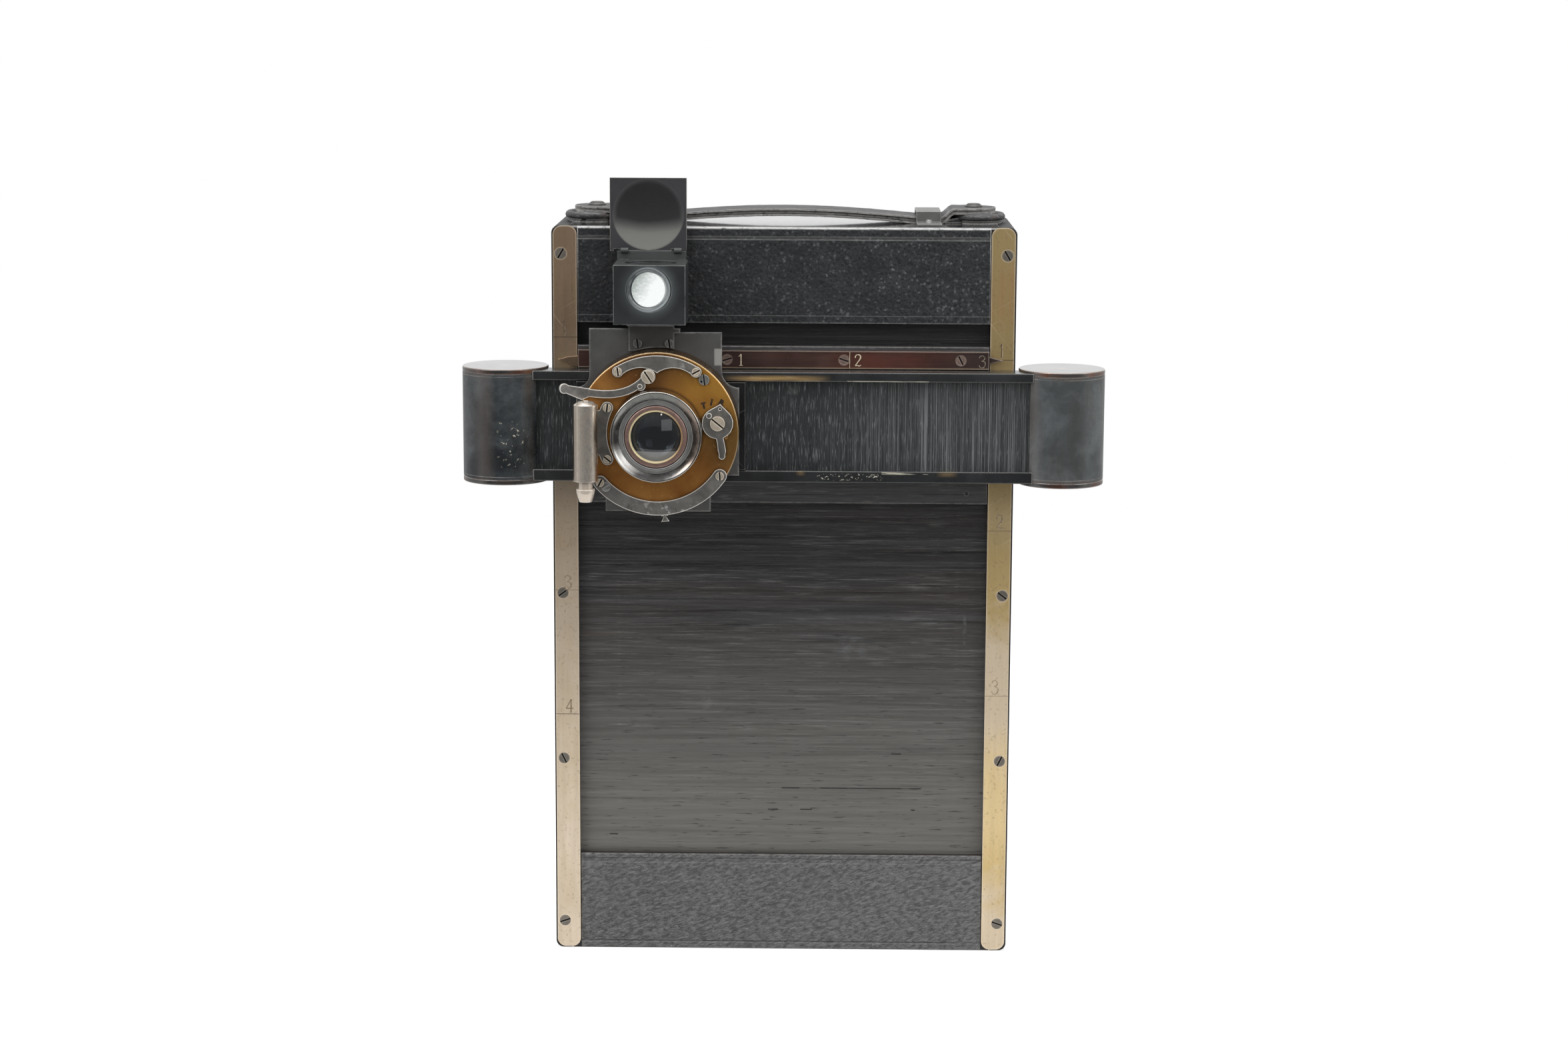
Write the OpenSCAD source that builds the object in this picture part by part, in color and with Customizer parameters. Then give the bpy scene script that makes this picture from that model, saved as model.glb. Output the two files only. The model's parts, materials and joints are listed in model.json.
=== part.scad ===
// Multiplying camera of wood, leather and brass, which puts a grid of small pictures on one 5 x 7 inch plate.
// Millimetres. X is to the right seen from the front, Y points backwards, Z is up.
// The origin is the centre of the case's base, on the axis of the tripod bush.

/* [Picture grid] */
// Width of the sensitive plate
plate_w = 127; // [120:1:140]
// Height of the sensitive plate
plate_h = 177.8; // [170:0.1:190]
// Number of pictures across the plate
columns = 3; // [3:1:4]
// Number of rows on the coarser of the two row scales
rows = 3; // [3:1:4]

/* [Case] */
// Distance from the plate's side to the outside of the case
side_margin = 16.5; // [15:0.5:20]
// Height of the plate's lower edge above the base
base_margin = 40.6; // [37:0.2:46]
// Height of the case above the plate's upper edge
top_margin = 38.6; // [36:0.2:44]
// Depth of the side boards
case_d = 52.8; // [52:0.2:60]
// Thickness of each side board
side_t = 6; // [5:0.5:7]
// Thickness of the top and base boards
end_board_t = 6; // [5:0.5:8]
// Thickness of the two front boards
front_board_t = 2.1; // [1.8:0.1:2.6]
// Thickness of the leather
leather_t = 0.6; // [0.4:0.1:1]
// Radius of the outer long corners of the case
corner_r = 2.5; // [1:0.5:4]

/* [Front rails] */
// Width of each brass rail
rail_w = 8.2; // [7:0.1:9]
// Thickness of each rail
rail_t = 1.1; // [0.8:0.1:1.6]
// Distance of a rail's outer edge from the case's side
rail_inset = 0.6; // [0.2:0.1:1]
// Corner radius of the rail ends
rail_end_r = 3; // [1:0.5:4]
// Screws in each rail
rail_screw_count = 5; // [3:1:7]
// Radius of a rail screw's head
rail_screw_r = 1.9; // [1.4:0.1:2.2]

/* [Carriage] */
// Height of the carriage board
carriage_board_h = 54.7; // [50:0.1:58]
// Distance of the board's lower edge below the lens axis
carriage_board_drop = 27.5; // [26:0.1:29]
// Width of the board's rim beside its opening
opening_rim = 2.9; // [2:0.1:4]
// Height of the horizontal frame that the lens runs in
frame_h = 38.1; // [36:0.1:42]
// Distance of the frame's lower edge below the lens axis
frame_drop = 18.7; // [18:0.1:20]
// Depth of the frame from front to back
frame_depth = 10; // [9.5:0.1:12]
// Height of the frame's upper bar
upper_bar_h = 3.2; // [2.6:0.1:4]
// Height of the frame's lower bar
lower_bar_h = 4; // [3:0.1:5]
// Depth of the grooves in the two bars
groove_depth = 1.3; // [0.8:0.1:1.6]
// Height of the scale bar
scale_h = 6.1; // [5:0.1:7]
// Thickness of the scale bar
scale_t = 1.5; // [1.2:0.1:2]

/* [Roller housings] */
// Outer diameter of the cylinder at each end of the frame
housing_d = 29.7; // [29:0.1:32]
// Height of the cylinder over its two caps
housing_h = 39.9; // [39.9:0.1:44]
// Thickness of the cylinder's wall
housing_wall = 1; // [0.6:0.1:1.4]
// Thickness of each cap
cap_t = 1.8; // [1.6:0.1:2.4]
// Space between the cylinder and the case's side
housing_gap = 1.15; // [0.6:0.05:2]

/* [Blinds and rollers] */
// Thickness of the veneer blinds
blind_t = 0.7; // [0.5:0.1:0.8]
// Width of one veneer slat
slat_w = 9; // [6:0.5:14]
// Radius of the two rollers in the case, with their blind wound on
case_roller_r = 8.6; // [7:0.1:9]
// Radius of a roller's pivots
pivot_r = 1.5; // [1:0.1:2]

/* [Shutter] */
// Outer diameter of the shutter case
shutter_d = 55.2; // [54:0.1:58]
// Depth of the shutter case behind its face plate
shutter_depth = 11.5; // [11:0.1:14]
// Thickness of the shutter case's wall
shutter_wall = 1.2; // [0.8:0.1:1.6]
// Thickness of the lacquered face plate
face_t = 1; // [0.8:0.1:1.4]
// Thickness of the nickel plates and levers on the face
nickel_t = 0.8; // [0.6:0.1:1]
// Thickness of the lens plate
lens_plate_t = 1.2; // [0.8:0.1:1.6]
// Diameter of the air cylinder
air_d = 7.9; // [7:0.1:8.4]
// Height of the air cylinder's barrel
air_h = 26; // [22:0.5:27]

/* [Lens] */
// Outer diameter of the lens barrel
barrel_d = 30.8; // [28:0.1:32]
// Length of the barrel in front of the face plate
barrel_l = 9.5; // [8:0.1:11]
// Clear diameter of the front glass
glass_d = 16.9; // [15:0.1:18]

/* [Finder] */
// Width of the finder box
finder_w = 24.3; // [22:0.1:26]
// Height of the finder box
finder_h = 22.3; // [20:0.1:24]
// Depth of the finder box
finder_depth = 22.8; // [20:0.1:23]
// Height of the finder's lid
lid_h = 25; // [24.5:0.1:27]
// Width of the finder's lid
lid_w = 26.3; // [24:0.1:28]
// Thickness of the lid's sheet
lid_t = 0.8; // [0.6:0.1:0.9]

/* [Back] */
// Thickness of the focusing frame
focusing_t = 6; // [5.4:0.1:7]
// Thickness of the ground glass
screen_t = 2; // [1.5:0.1:2.4]
// Width of a back spring
spring_w = 5; // [3:0.5:5.5]
// Thickness of a back spring
spring_t = 0.6; // [0.4:0.1:0.8]

/* [Handle] */
// Width of the leather strap
strap_w = 20; // [16:0.5:22]
// Thickness of the leather strap
strap_t = 2.6; // [2:0.1:3]
// Rise of the strap above the case at its middle
strap_rise = 2.9; // [2:0.1:6]
// Distance of each strap end's stud from the case's side
stud_inset = 13; // [12:0.5:16]
// Distance of each clip from its stud
clip_offset = 17; // [15:0.5:20]

/* [Running fits] */
// Space left at the end of the carriage's travel
stop_gap = 0.5; // [0.3:0.1:1]
// Space between pieces that slide on each other
slide_gap = 0.3; // [0.3:0.05:0.4]
// Radial space of a pivot in its bore
pivot_gap = 0.05; // [0.02:0.01:0.08]

/* [Hidden] */
$fn = 64;

// Case
case_w = plate_w + 2 * side_margin;
plate_centre_z = base_margin + plate_h / 2;
case_h = base_margin + plate_h + top_margin;
half_w = case_w / 2;
inner_x = half_w - side_t;
side_front_y = -case_d / 2;
side_back_y = case_d / 2;
front_board_back_y = side_front_y + front_board_t;
top_board_z = case_h - leather_t - end_board_t;
rail_outer_x = half_w - rail_inset;
rail_inner_x = rail_outer_x - rail_w;
rail_front_y = side_front_y - rail_t;
rail_z = 0.7;
rail_screw_x = rail_outer_x - 2.7;
rail_screw_end = 9.5;
rail_screw_pitch = (case_h - rail_z - 2 * rail_screw_end) / (rail_screw_count - 1);
leather_x = rail_inner_x - 0.2;
slot_w = 0.5;
bush_flange_r = 11;
bush_flange_t = 1.4;
bush_r = 7.5;
bush_thread_r = 4.1;

// Carriage, placed at the top row of the coarser scale
function row_top(n) = plate_centre_z + plate_h * (n - 1) / (2 * n);
lens_travel = plate_w * (columns - 1) / columns;
lens_x = -lens_travel / 2;
lens_z = row_top(rows);
tongue_front_y = side_front_y + slide_gap;
tongue_back_y = tongue_front_y + front_board_t;
tongue_x = inner_x - 2 * slide_gap;
field_x = rail_inner_x - slide_gap;
field_front_y = rail_front_y - 0.5;
board_low_z = lens_z - carriage_board_drop;
board_top_z = board_low_z + carriage_board_h;
upper_front_z = row_top(rows + 1) - carriage_board_drop + carriage_board_h + stop_gap;
lower_front_z = 2 * plate_centre_z - row_top(rows + 1) - carriage_board_drop - stop_gap;
frame_front_y = field_front_y - frame_depth;
frame_low_z = lens_z - frame_drop;
frame_top_z = frame_low_z + frame_h;
window_low_z = frame_low_z + lower_bar_h;
window_top_z = frame_top_z - upper_bar_h;
groove_front_y = frame_front_y + 1.5;
groove_back_y = groove_front_y + 3.2;
groove_low_z = window_low_z - groove_depth;
groove_top_z = window_top_z + groove_depth;
opening_x = field_x - opening_rim;
scale_low_z = frame_top_z + slide_gap;
scale_top_z = scale_low_z + scale_h;
scale_front_y = field_front_y - scale_t;
scale_screw_z = (scale_low_z + scale_top_z) / 2;
scale_screw_end = 11.3;
scale_screw_pitch = (2 * field_x - 2 * scale_screw_end + 1.5) / 3;
pointer_z = scale_screw_z - 0.1;
pointer_t = 0.6;
pointer_base = 9;

// Roller housings
housing_r = housing_d / 2;
housing_x = half_w + housing_gap + housing_r;
housing_set_back = 11;
housing_y = frame_front_y + housing_set_back;
housing_low_z = (frame_low_z + frame_top_z - housing_h) / 2 - 0.2;
housing_top_z = housing_low_z + housing_h;
side_blind_front_y = groove_front_y + 1.5;
side_blind_back_y = side_blind_front_y + blind_t;
end_roller_r = housing_y - side_blind_back_y - slide_gap;
end_pivot_l = 1.2;

// Blinds in the case
case_blind_front_y = tongue_back_y;
case_blind_back_y = case_blind_front_y + blind_t;
case_roller_y = case_blind_back_y + slide_gap + case_roller_r;
roller_end_gap = 1.3;
upper_roller_z = top_board_z - roller_end_gap - case_roller_r;
lower_roller_z = end_board_t + roller_end_gap + case_roller_r;
bracket_t = 2;
roller_x = inner_x - bracket_t - 2 * slide_gap;
glued_edge = 7;
slat_groove = 0.2;

// Lens board and shutter
body_reach = [28.4, 27.4];
body_low = 16.2;
body_high = 14.1;
wing_reach = [23.8, 21.5];
wing_high = 33.1;
wing_step_reach = 5.5;
wing_step = 1.2;
hollow_r = [4.3, 5.8];
skirt_reach = [18.4, 17.7];
skirt_low = 28.8;
panel_left = lens_x - body_reach[0];
panel_right = lens_x + body_reach[1] + 2.1;
panel_front_y = frame_front_y - slide_gap;
lens_plate_front_y = panel_front_y - lens_plate_t;
shutter_r = shutter_d / 2;
face_back_y = lens_plate_front_y - shutter_depth;
face_front_y = face_back_y - face_t;
nickel_front_y = face_front_y - nickel_t;
lever_back_y = nickel_front_y - slide_gap;
lever_front_y = lever_back_y - nickel_t;
mode_back_y = face_front_y - slide_gap;
mode_front_y = mode_back_y - nickel_t;
barrel_r = barrel_d / 2;
barrel_front_y = face_front_y - barrel_l;
bevel_depth = 1.2;
bevel_y = -barrel_front_y - bevel_depth;
spigot_r = 12;
cell_r = 11.2;
glass_r = glass_d / 2;
rear_cell_r = 11;
rear_glass_r = 8.8;
chamber_wall = 0.8;
chamber_mouth = [12, 12];
chamber_end = [lens_travel / 4, plate_h / 8 - 0.3];
case_floor_y = lens_plate_front_y - shutter_wall;
stop_ring_t = 0.8;
stop_ring_front_y = face_back_y + slide_gap;
stop_ring_back_y = stop_ring_front_y + stop_ring_t;
blade_t = 0.3;
upper_blade_y = (stop_ring_back_y + case_floor_y) / 2 - blade_t - slide_gap / 2;
lower_blade_y = upper_blade_y + blade_t + slide_gap;
blade_pivot = [18, 3];
blade_pivot_r = 0.7;
stop_angle = 5;
stop_slot_angle = 50;

// Outline of the face's furniture, from the lens axis
bridge_r = 26.6;
bridge_in_r = 19;
bridge_angle = 32;
bridge_end = [13.2, 21.1];
bridge_scallop = [5.5, 13];
bridge_scallop_r = 9.45;
side_plate_in_r = 17;
side_plate_out_r = 21;
side_plate_angle = 27.5;
seat_z = [-5, 5.5];
seat_reach = 2;
arc_plate_out_r = 28;
arc_plate_in_r = 23.3;
arc_left_angle = 221;
arc_right_angle = 326;
lever_pivot = [-2.93, 19.56];
mode_pivot = [20.5, 3.7];
face_screw_r = 1.4;
lever_screw_r = 2.2;
mode_screw_r = 2.5;
cover_screw = [15.9, 18.4];
cover_screw_r = 1.8;
air_x = -23.75;
air_r = air_d / 2;
air_y = nickel_front_y - 0.25 - air_r;
air_low_z = -15.65;
air_top_z = air_low_z + air_h;

// Finder
finder_x = -2.52;
finder_rise = 36.9;
finder_low_z = lens_z + finder_rise;
finder_top_z = finder_low_z + finder_h;
finder_reach = 13.5;
finder_front_y = lens_plate_front_y - finder_reach;
finder_back_y = finder_front_y + finder_depth;
finder_wall = 0.9;
finder_axis_z = (finder_low_z + finder_top_z) / 2 + 0.75;
finder_rim_r = 7.5;
finder_glass_r = 5.9;
top_glass_r = 9;
hinge_y = finder_back_y + 0.9;
hinge_r = 1.1;
hinge_pin_r = 0.45;
lid_front_y = hinge_y - 0.6;
hinge_z = finder_top_z + slide_gap + 0.6;
lid_low_z = hinge_z + 0.6;
bracket_w = 15.6;
bracket_sheet = 0.8;
bracket_drop = 6.4;
bracket_screw_x = 5.4;
dish_r = 12.3;
dish_depth = 1.4;

// Back
gate_w = plate_w - 2;
gate_h = plate_h - 2;
back_frame_t = 12.4;
back_frame_front_y = side_back_y - back_frame_t;
focusing_w = gate_w + 10.2;
focusing_h = gate_h + 14.4;
recess_front_y = back_frame_front_y + 3.7;
focusing_front_y = recess_front_y + slide_gap;
focusing_back_y = focusing_front_y + focusing_t;
screen_w = plate_w;
screen_h = plate_h;
screen_front_y = focusing_front_y + 1.8;
bead_w = 2.2;
spring_z = (screen_h + focusing_h) / 4 + 0.15;
spring_screw_x = inner_x - 3;

// Handle
stud_x = half_w - stud_inset;
clip_x = stud_x - clip_offset;
clip_w = 8.6;
loop_x = stud_x + 0.6;
loop_tube_r = 1.2;
loop_r = 8.2;
pad_t = 1.1;
loop_z = case_h + pad_t + loop_tube_r;
tab_z = loop_z + loop_tube_r + 0.1;
strap_end_t = strap_t - 0.6;

// Helpers that draw a flat outline across one axis
module across_y(y0, y1) {
    translate([0, y1, 0]) rotate([90, 0, 0]) linear_extrude(y1 - y0) children();
}
module across_x(x0, x1) {
    translate([x0, 0, 0]) rotate([90, 0, 90]) linear_extrude(x1 - x0) children();
}
module across_z(z0, z1) {
    translate([0, 0, z0]) linear_extrude(z1 - z0) children();
}
module block(x, y, z) {
    translate([x[0], y[0], z[0]]) cube([x[1] - x[0], y[1] - y[0], z[1] - z[0]]);
}
module span(x, y) {
    translate([x[0], y[0]]) square([x[1] - x[0], y[1] - y[0]]);
}
module rod_y(at, r, y0, y1) {
    across_y(y0, y1) translate(at) circle(r);
}
module rod_x(at, r, x0, x1) {
    across_x(x0, x1) translate(at) circle(r);
}
module rod_z(at, r, z0, z1) {
    across_z(z0, z1) translate(at) circle(r);
}
module rounded(x, y, r) {
    span([x[0] + r, x[1] - r], y);
    span(x, [y[0] + r, y[1] - r]);
    for (cx = [x[0] + r, x[1] - r], cy = [y[0] + r, y[1] - r]) translate([cx, cy]) circle(r);
}
module both_sides() {
    children();
    mirror([1, 0, 0]) children();
}
// A screw along Y with a slotted head in front of y and its shank behind it
module screw_y(at, r, head, shank_r, shank, y, turn = 0) {
    difference() {
        rod_y(at, r, y - head, y);
        translate([at[0], y - head, at[1]]) rotate([0, turn, 0])
            cube([2 * r + 1, head, slot_w], center = true);
    }
    rod_y(at, shank_r, y, y + shank);
}
module at_lens() {
    translate([lens_x, 0, lens_z]) children();
}
// A wedge of the plane between two angles
module wedge(a0, a1, r) {
    mid = (a0 + a1) / 2;
    polygon([[0, 0], for (a = [a0, (a0 + mid) / 2, mid, (mid + a1) / 2, a1]) 2 * r * [cos(a), sin(a)]]);
}

// Case
module side_board() {
    across_y(side_front_y, side_back_y) {
        span([inner_x, half_w - corner_r], [0, case_h]);
        span([half_w - corner_r, half_w], [corner_r, case_h - corner_r]);
        for (z = [corner_r, case_h - corner_r]) translate([half_w - corner_r, z]) circle(corner_r);
    }
}
module left_side_board() color("#1d1b1a") mirror([1, 0, 0]) side_board();
module right_side_board() color("#1d1b1a") side_board();

module top_board() color("#2a2320")
    block([-inner_x, inner_x], [front_board_back_y, side_back_y], [top_board_z, case_h - leather_t]);

module base_board() color("#2a2320") difference() {
    block([-inner_x, inner_x], [front_board_back_y, side_back_y], [0, end_board_t]);
    rod_z([0, 0], bush_flange_r, -1, bush_flange_t);
    rod_z([0, 0], bush_r, 0, end_board_t + 1);
}

module front_boards() color("#2a2320") across_y(side_front_y, front_board_back_y) {
    span([-inner_x, inner_x], [0, lower_front_z]);
    span([-inner_x, inner_x], [upper_front_z, case_h - leather_t]);
}

// One piece of leather wraps the top and the upper front board, a second one covers the lower front board
module case_leather() color("#17181a") {
    front_y = side_front_y - leather_t;
    across_x(-leather_x, leather_x) {
        span([front_y, side_front_y], [upper_front_z, case_h - leather_t]);
        difference() {
            union() {
                translate([side_front_y + 0.9, case_h - 1.5]) circle(1.5);
                span([front_y, side_front_y + 0.9], [case_h - leather_t - 2, case_h - 1.5]);
                span([side_front_y + 0.9, side_back_y], [case_h - leather_t, case_h]);
            }
            span([side_front_y, side_back_y + 1], [case_h - 5, case_h - leather_t]);
        }
    }
    for (side = [-1, 1]) scale_x(side)
        block([leather_x, inner_x], [side_front_y, side_back_y], [case_h - leather_t, case_h]);
    block([-leather_x, leather_x], [front_y, side_front_y], [0.3, lower_front_z]);
}
module scale_x(side) {
    if (side > 0) children();
    else mirror([1, 0, 0]) children();
}

module rail() {
    difference() {
        across_y(rail_front_y, side_front_y)
            rounded([rail_inner_x, rail_outer_x], [rail_z, case_h], rail_end_r);
        for (z = rail_screw_heights())
            rod_y([rail_screw_x, z], rail_screw_r + pivot_gap, rail_front_y - 1, side_front_y + 1);
    }
}
function rail_screw_heights() =
    [for (i = [0:rail_screw_count - 1]) rail_z + rail_screw_end + i * rail_screw_pitch];
module left_rail() color("#8f8577") mirror([1, 0, 0]) rail();
module right_rail() color("#9a8a5e") rail();

module rail_screws() color("#6f6a62") both_sides()
    for (z = rail_screw_heights())
        screw_y([rail_screw_x, z], rail_screw_r, rail_t + 0.05, rail_screw_r / 2, 8, side_front_y, z * 1.7);

module blind_guides() color("#2a2320") both_sides()
    block([inner_x - 3, inner_x], [case_blind_back_y + slide_gap, case_blind_back_y + slide_gap + 2],
        [lower_roller_z + case_roller_r + 1, upper_roller_z - case_roller_r - 1]);

module roller_brackets() color("#a8853f") both_sides() for (z = [lower_roller_z, upper_roller_z])
    difference() {
        across_x(inner_x - bracket_t, inner_x) {
            translate([case_roller_y, z]) circle(5);
            span([case_roller_y, case_roller_y + 12], [z - 5, z + 5]);
        }
        rod_x([case_roller_y, z], pivot_r + pivot_gap, inner_x - bracket_t - 1, inner_x + 1);
    }

module tripod_bush() color("#a8853f") difference() {
    union() {
        rod_z([0, 0], bush_flange_r, 0, bush_flange_t);
        rod_z([0, 0], bush_r, 0, end_board_t);
    }
    rod_z([0, 0], bush_thread_r, -1, end_board_t + 1);
}

// Handle: one strap over two clips, its ends riveted down over two rolled leather loops
function smooth(t) = let (u = min(1, max(0, t))) u * u * (3 - 2 * u);
function strap_low(x) = case_h + 0.3 + strap_rise * cos(min(abs(x), clip_x - 4) * 90 / clip_x)
    + (tab_z - case_h - 0.3) * smooth((abs(x) - clip_x - clip_w / 2) / 4.5);
function strap_top(x) = strap_low(x) + strap_t
    - (strap_t - strap_end_t) * smooth((abs(x) - clip_x - clip_w / 2) / 4.5);
module handle_strap() color("#26262a") intersection() {
    steps = [for (x = [-stud_x - 7:2:stud_x + 7]) x];
    across_y(-strap_w / 2, strap_w / 2)
        polygon([
            for (x = steps) [x, strap_low(x)],
            for (i = [len(steps) - 1:-1:0]) [steps[i], strap_top(steps[i])]
        ]);
    across_z(case_h, case_h + 20) {
        span([-stud_x + 3, stud_x - 3], [-strap_w / 2, strap_w / 2]);
        for (x = [-stud_x + 3, stud_x - 3]) translate([x, 0]) circle(strap_w / 2);
    }
}

module handle_loops() color("#26262a") both_sides() {
    straight = strap_w / 2 - loop_r;
    translate([loop_x, 0, loop_z]) {
        for (side = [0, 180]) rotate([0, 0, side]) {
            translate([0, straight, 0]) rotate_extrude(angle = 180)
                translate([loop_r, 0]) circle(loop_tube_r, $fn = 24);
            translate([loop_r, straight, 0]) rotate([90, 0, 0])
                cylinder(r = loop_tube_r, h = 2 * straight, $fn = 24);
        }
    }
    across_z(case_h, case_h + pad_t) for (y = [-straight, straight]) translate([loop_x, y]) circle(loop_r);
    block([loop_x - loop_r, loop_x + loop_r], [-straight, straight], [case_h, case_h + pad_t]);
}

module handle_fittings() color("#8d8d8f") both_sides() {
    clip_y = strap_w / 2 + 0.6;
    clip_t = 0.8;
    clip_top = strap_top(clip_x) + slide_gap + clip_t;
    x = [clip_x - clip_w / 2, clip_x + clip_w / 2];
    difference() {
        block(x, [-clip_y, clip_y], [case_h, clip_top]);
        block([x[0] - 1, x[1] + 1], [-clip_y + clip_t, clip_y - clip_t], [case_h - 1, clip_top - clip_t]);
    }
    for (side = [-1, 1]) {
        foot = [clip_y, clip_y + 11];
        block(x, side > 0 ? foot : [-foot[1], -foot[0]], [case_h, case_h + 0.8]);
        translate([clip_x, side * (clip_y + 3), case_h + 0.8]) cylinder(r1 = 1.5, r2 = 0.9, h = 1);
        rod_z([clip_x, side * (clip_y + 3)], 0.8, case_h - 5, case_h + 0.8);
    }
    rod_z([stud_x - 1, 0], 1.4, case_h - 5, tab_z + strap_end_t);
    translate([stud_x - 1, 0, tab_z + strap_end_t]) cylinder(r1 = 3.3, r2 = 2, h = 1);
}

// Back: a fixed frame, and a focusing screen in a wooden frame that springs back to let the plate holder in
module frame_outline(w, h) {
    span([-w / 2, w / 2], [plate_centre_z - h / 2, plate_centre_z + h / 2]);
}
module back_frame() color("#2a2320") {
    difference() {
        block([-inner_x, inner_x], [back_frame_front_y, side_back_y], [end_board_t, top_board_z]);
        across_y(back_frame_front_y - 1, side_back_y + 1) frame_outline(gate_w, gate_h);
        across_y(recess_front_y, side_back_y + 1)
            frame_outline(focusing_w + 4 * slide_gap, focusing_h + 4 * slide_gap);
    }
}
module focusing_frame() color("#5a3320") difference() {
    across_y(focusing_front_y, focusing_back_y) frame_outline(focusing_w, focusing_h);
    across_y(focusing_front_y - 1, focusing_back_y + 1) frame_outline(gate_w - 4, gate_h - 4);
    across_y(screen_front_y, focusing_back_y + 1) frame_outline(screen_w + 0.4, screen_h + 0.4);
}
module ground_glass() color("#c9d2d0", 0.7)
    across_y(screen_front_y, screen_front_y + screen_t) frame_outline(screen_w, screen_h);
module glass_bead() color("#4a2a1a") difference() {
    across_y(screen_front_y + screen_t, focusing_back_y - 0.1) frame_outline(screen_w + 0.4, screen_h + 0.4);
    across_y(focusing_front_y, focusing_back_y + 1)
        frame_outline(screen_w + 0.4 - 2 * bead_w, screen_h + 0.4 - 2 * bead_w);
}
spring_sweep = 50;
spring_dip = side_back_y - focusing_back_y - slide_gap;
function spring_y(x) = side_back_y - spring_dip * smooth((spring_screw_x - 4 - abs(x)) / spring_sweep);
module back_springs() color("#b08d4a") for (side = [-1, 1]) {
    end = spring_screw_x + 2.2;
    steps = [-end, for (x = [-spring_screw_x + 4:5:spring_screw_x - 4]) x, end];
    z = plate_centre_z + side * spring_z;
    across_z(z - spring_w / 2, z + spring_w / 2)
        polygon([
            for (x = steps) [x, spring_y(x)],
            for (i = [len(steps) - 1:-1:0]) [steps[i], spring_y(steps[i]) + spring_t]
        ]);
}
module spring_screws() color("#a8853f") both_sides() for (side = [-1, 1])
    translate([0, 2 * side_back_y + spring_t, 0]) mirror([0, 1, 0])
        screw_y([spring_screw_x, plate_centre_z + side * spring_z], 1.7, 0.9, 0.9, 6, side_back_y, 30 * side);

// Rollers in the case
module case_roller(z) {
    rod_x([case_roller_y, z], case_roller_r, -roller_x, roller_x);
    rod_x([case_roller_y, z], pivot_r, -inner_x + slide_gap, inner_x - slide_gap);
}
module upper_roller() color("#5b4636") case_roller(upper_roller_z);
module lower_roller() color("#5b4636") case_roller(lower_roller_z);

// Carriage
module carriage_board() color("#241e1b") difference() {
    union() {
        block([-tongue_x, tongue_x], [tongue_front_y, tongue_back_y], [board_low_z, board_top_z]);
        block([-field_x, field_x], [field_front_y, tongue_back_y], [board_low_z, board_top_z]);
    }
    block([-opening_x, opening_x], [field_front_y - 1, tongue_back_y + 1], [window_low_z, window_top_z - 1]);
}
// Flat blind of veneer slats, with a shallow groove between them
module case_blind(z0, z1) {
    difference() {
        block([-tongue_x, tongue_x], [case_blind_front_y, case_blind_back_y], [z0, z1]);
        for (z = [z0 + slat_w + glued_edge:slat_w:z1 - slat_w - glued_edge])
            block([-tongue_x - 1, tongue_x + 1], [case_blind_front_y - 1, case_blind_front_y + slat_groove],
                [z, z + slat_groove]);
    }
}
module upper_blind() color("#201d1c") case_blind(board_top_z - glued_edge, upper_roller_z);
module lower_blind() color("#201d1c") case_blind(lower_roller_z, board_low_z + glued_edge);

module scale_bar() color("#4a231c") difference() {
    block([-field_x + 0.1, field_x - 0.1], [scale_front_y, field_front_y], [scale_low_z, scale_top_z]);
    both_sides() block([field_x - pointer_base, field_x + 1], [field_front_y - pointer_t, field_front_y + 1],
        [scale_low_z - 1, scale_top_z + 1]);
    for (x = scale_screw_places())
        rod_y([x, scale_screw_z], 1.65, scale_front_y - 1, scale_front_y + 0.6);
}
function scale_screw_places() = [for (i = [0:3]) scale_screw_end - field_x + i * scale_screw_pitch];
module scale_screws() color("#5e4a3c")
    for (x = scale_screw_places())
        screw_y([x, scale_screw_z], 1.6, 0.55, 0.8, 3, scale_front_y + 0.6, x);

// Two pointers reach over the rails and show the row: a forked one on the left and a plain one on the right
module row_pointers() color("#b9b4aa") across_y(field_front_y - pointer_t, field_front_y) {
    base = [field_x - pointer_base, field_x - 0.1];
    root = base[1] - 1;
    scale_x(1) {
        span(base, [scale_low_z, scale_top_z]);
        polygon([[root, pointer_z - 1.4], [field_x + 4.8, pointer_z + 0.1], [root, pointer_z + 1.6]]);
    }
    scale_x(-1) {
        span(base, [scale_low_z, scale_top_z]);
        polygon([[root, pointer_z - 2.6], [field_x + 2.4, pointer_z - 2.6], [field_x + 3.4, pointer_z - 1.2],
            [field_x + 7.1, pointer_z - 0.4], [field_x + 3, pointer_z + 0.7], [root, pointer_z + 1]]);
    }
}

// A pair of grooved bars across the board carries the lens and its two blinds, and ends on the housings
module carriage_frame() color("#141416") difference() {
    union() {
        block([-housing_x, housing_x], [frame_front_y, field_front_y], [window_top_z, frame_top_z]);
        block([-housing_x, housing_x], [frame_front_y, field_front_y], [frame_low_z, window_low_z]);
        both_sides() block([opening_x, half_w], [groove_back_y, field_front_y], [frame_low_z, frame_top_z]);
    }
    block([-housing_x - 1, housing_x + 1], [groove_front_y, groove_back_y], [groove_low_z, groove_top_z]);
    both_sides() rod_z([housing_x, housing_y], housing_r + 0.05, frame_low_z - 5, frame_top_z + 5);
}
module housings() color("#1b1c1e") both_sides() difference() {
    rod_z([housing_x, housing_y], housing_r, housing_low_z + cap_t, housing_top_z - cap_t);
    rod_z([housing_x, housing_y], housing_r - housing_wall, housing_low_z, housing_top_z);
    block([0, housing_x], [groove_front_y, groove_back_y], [groove_low_z, groove_top_z]);
}
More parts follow.
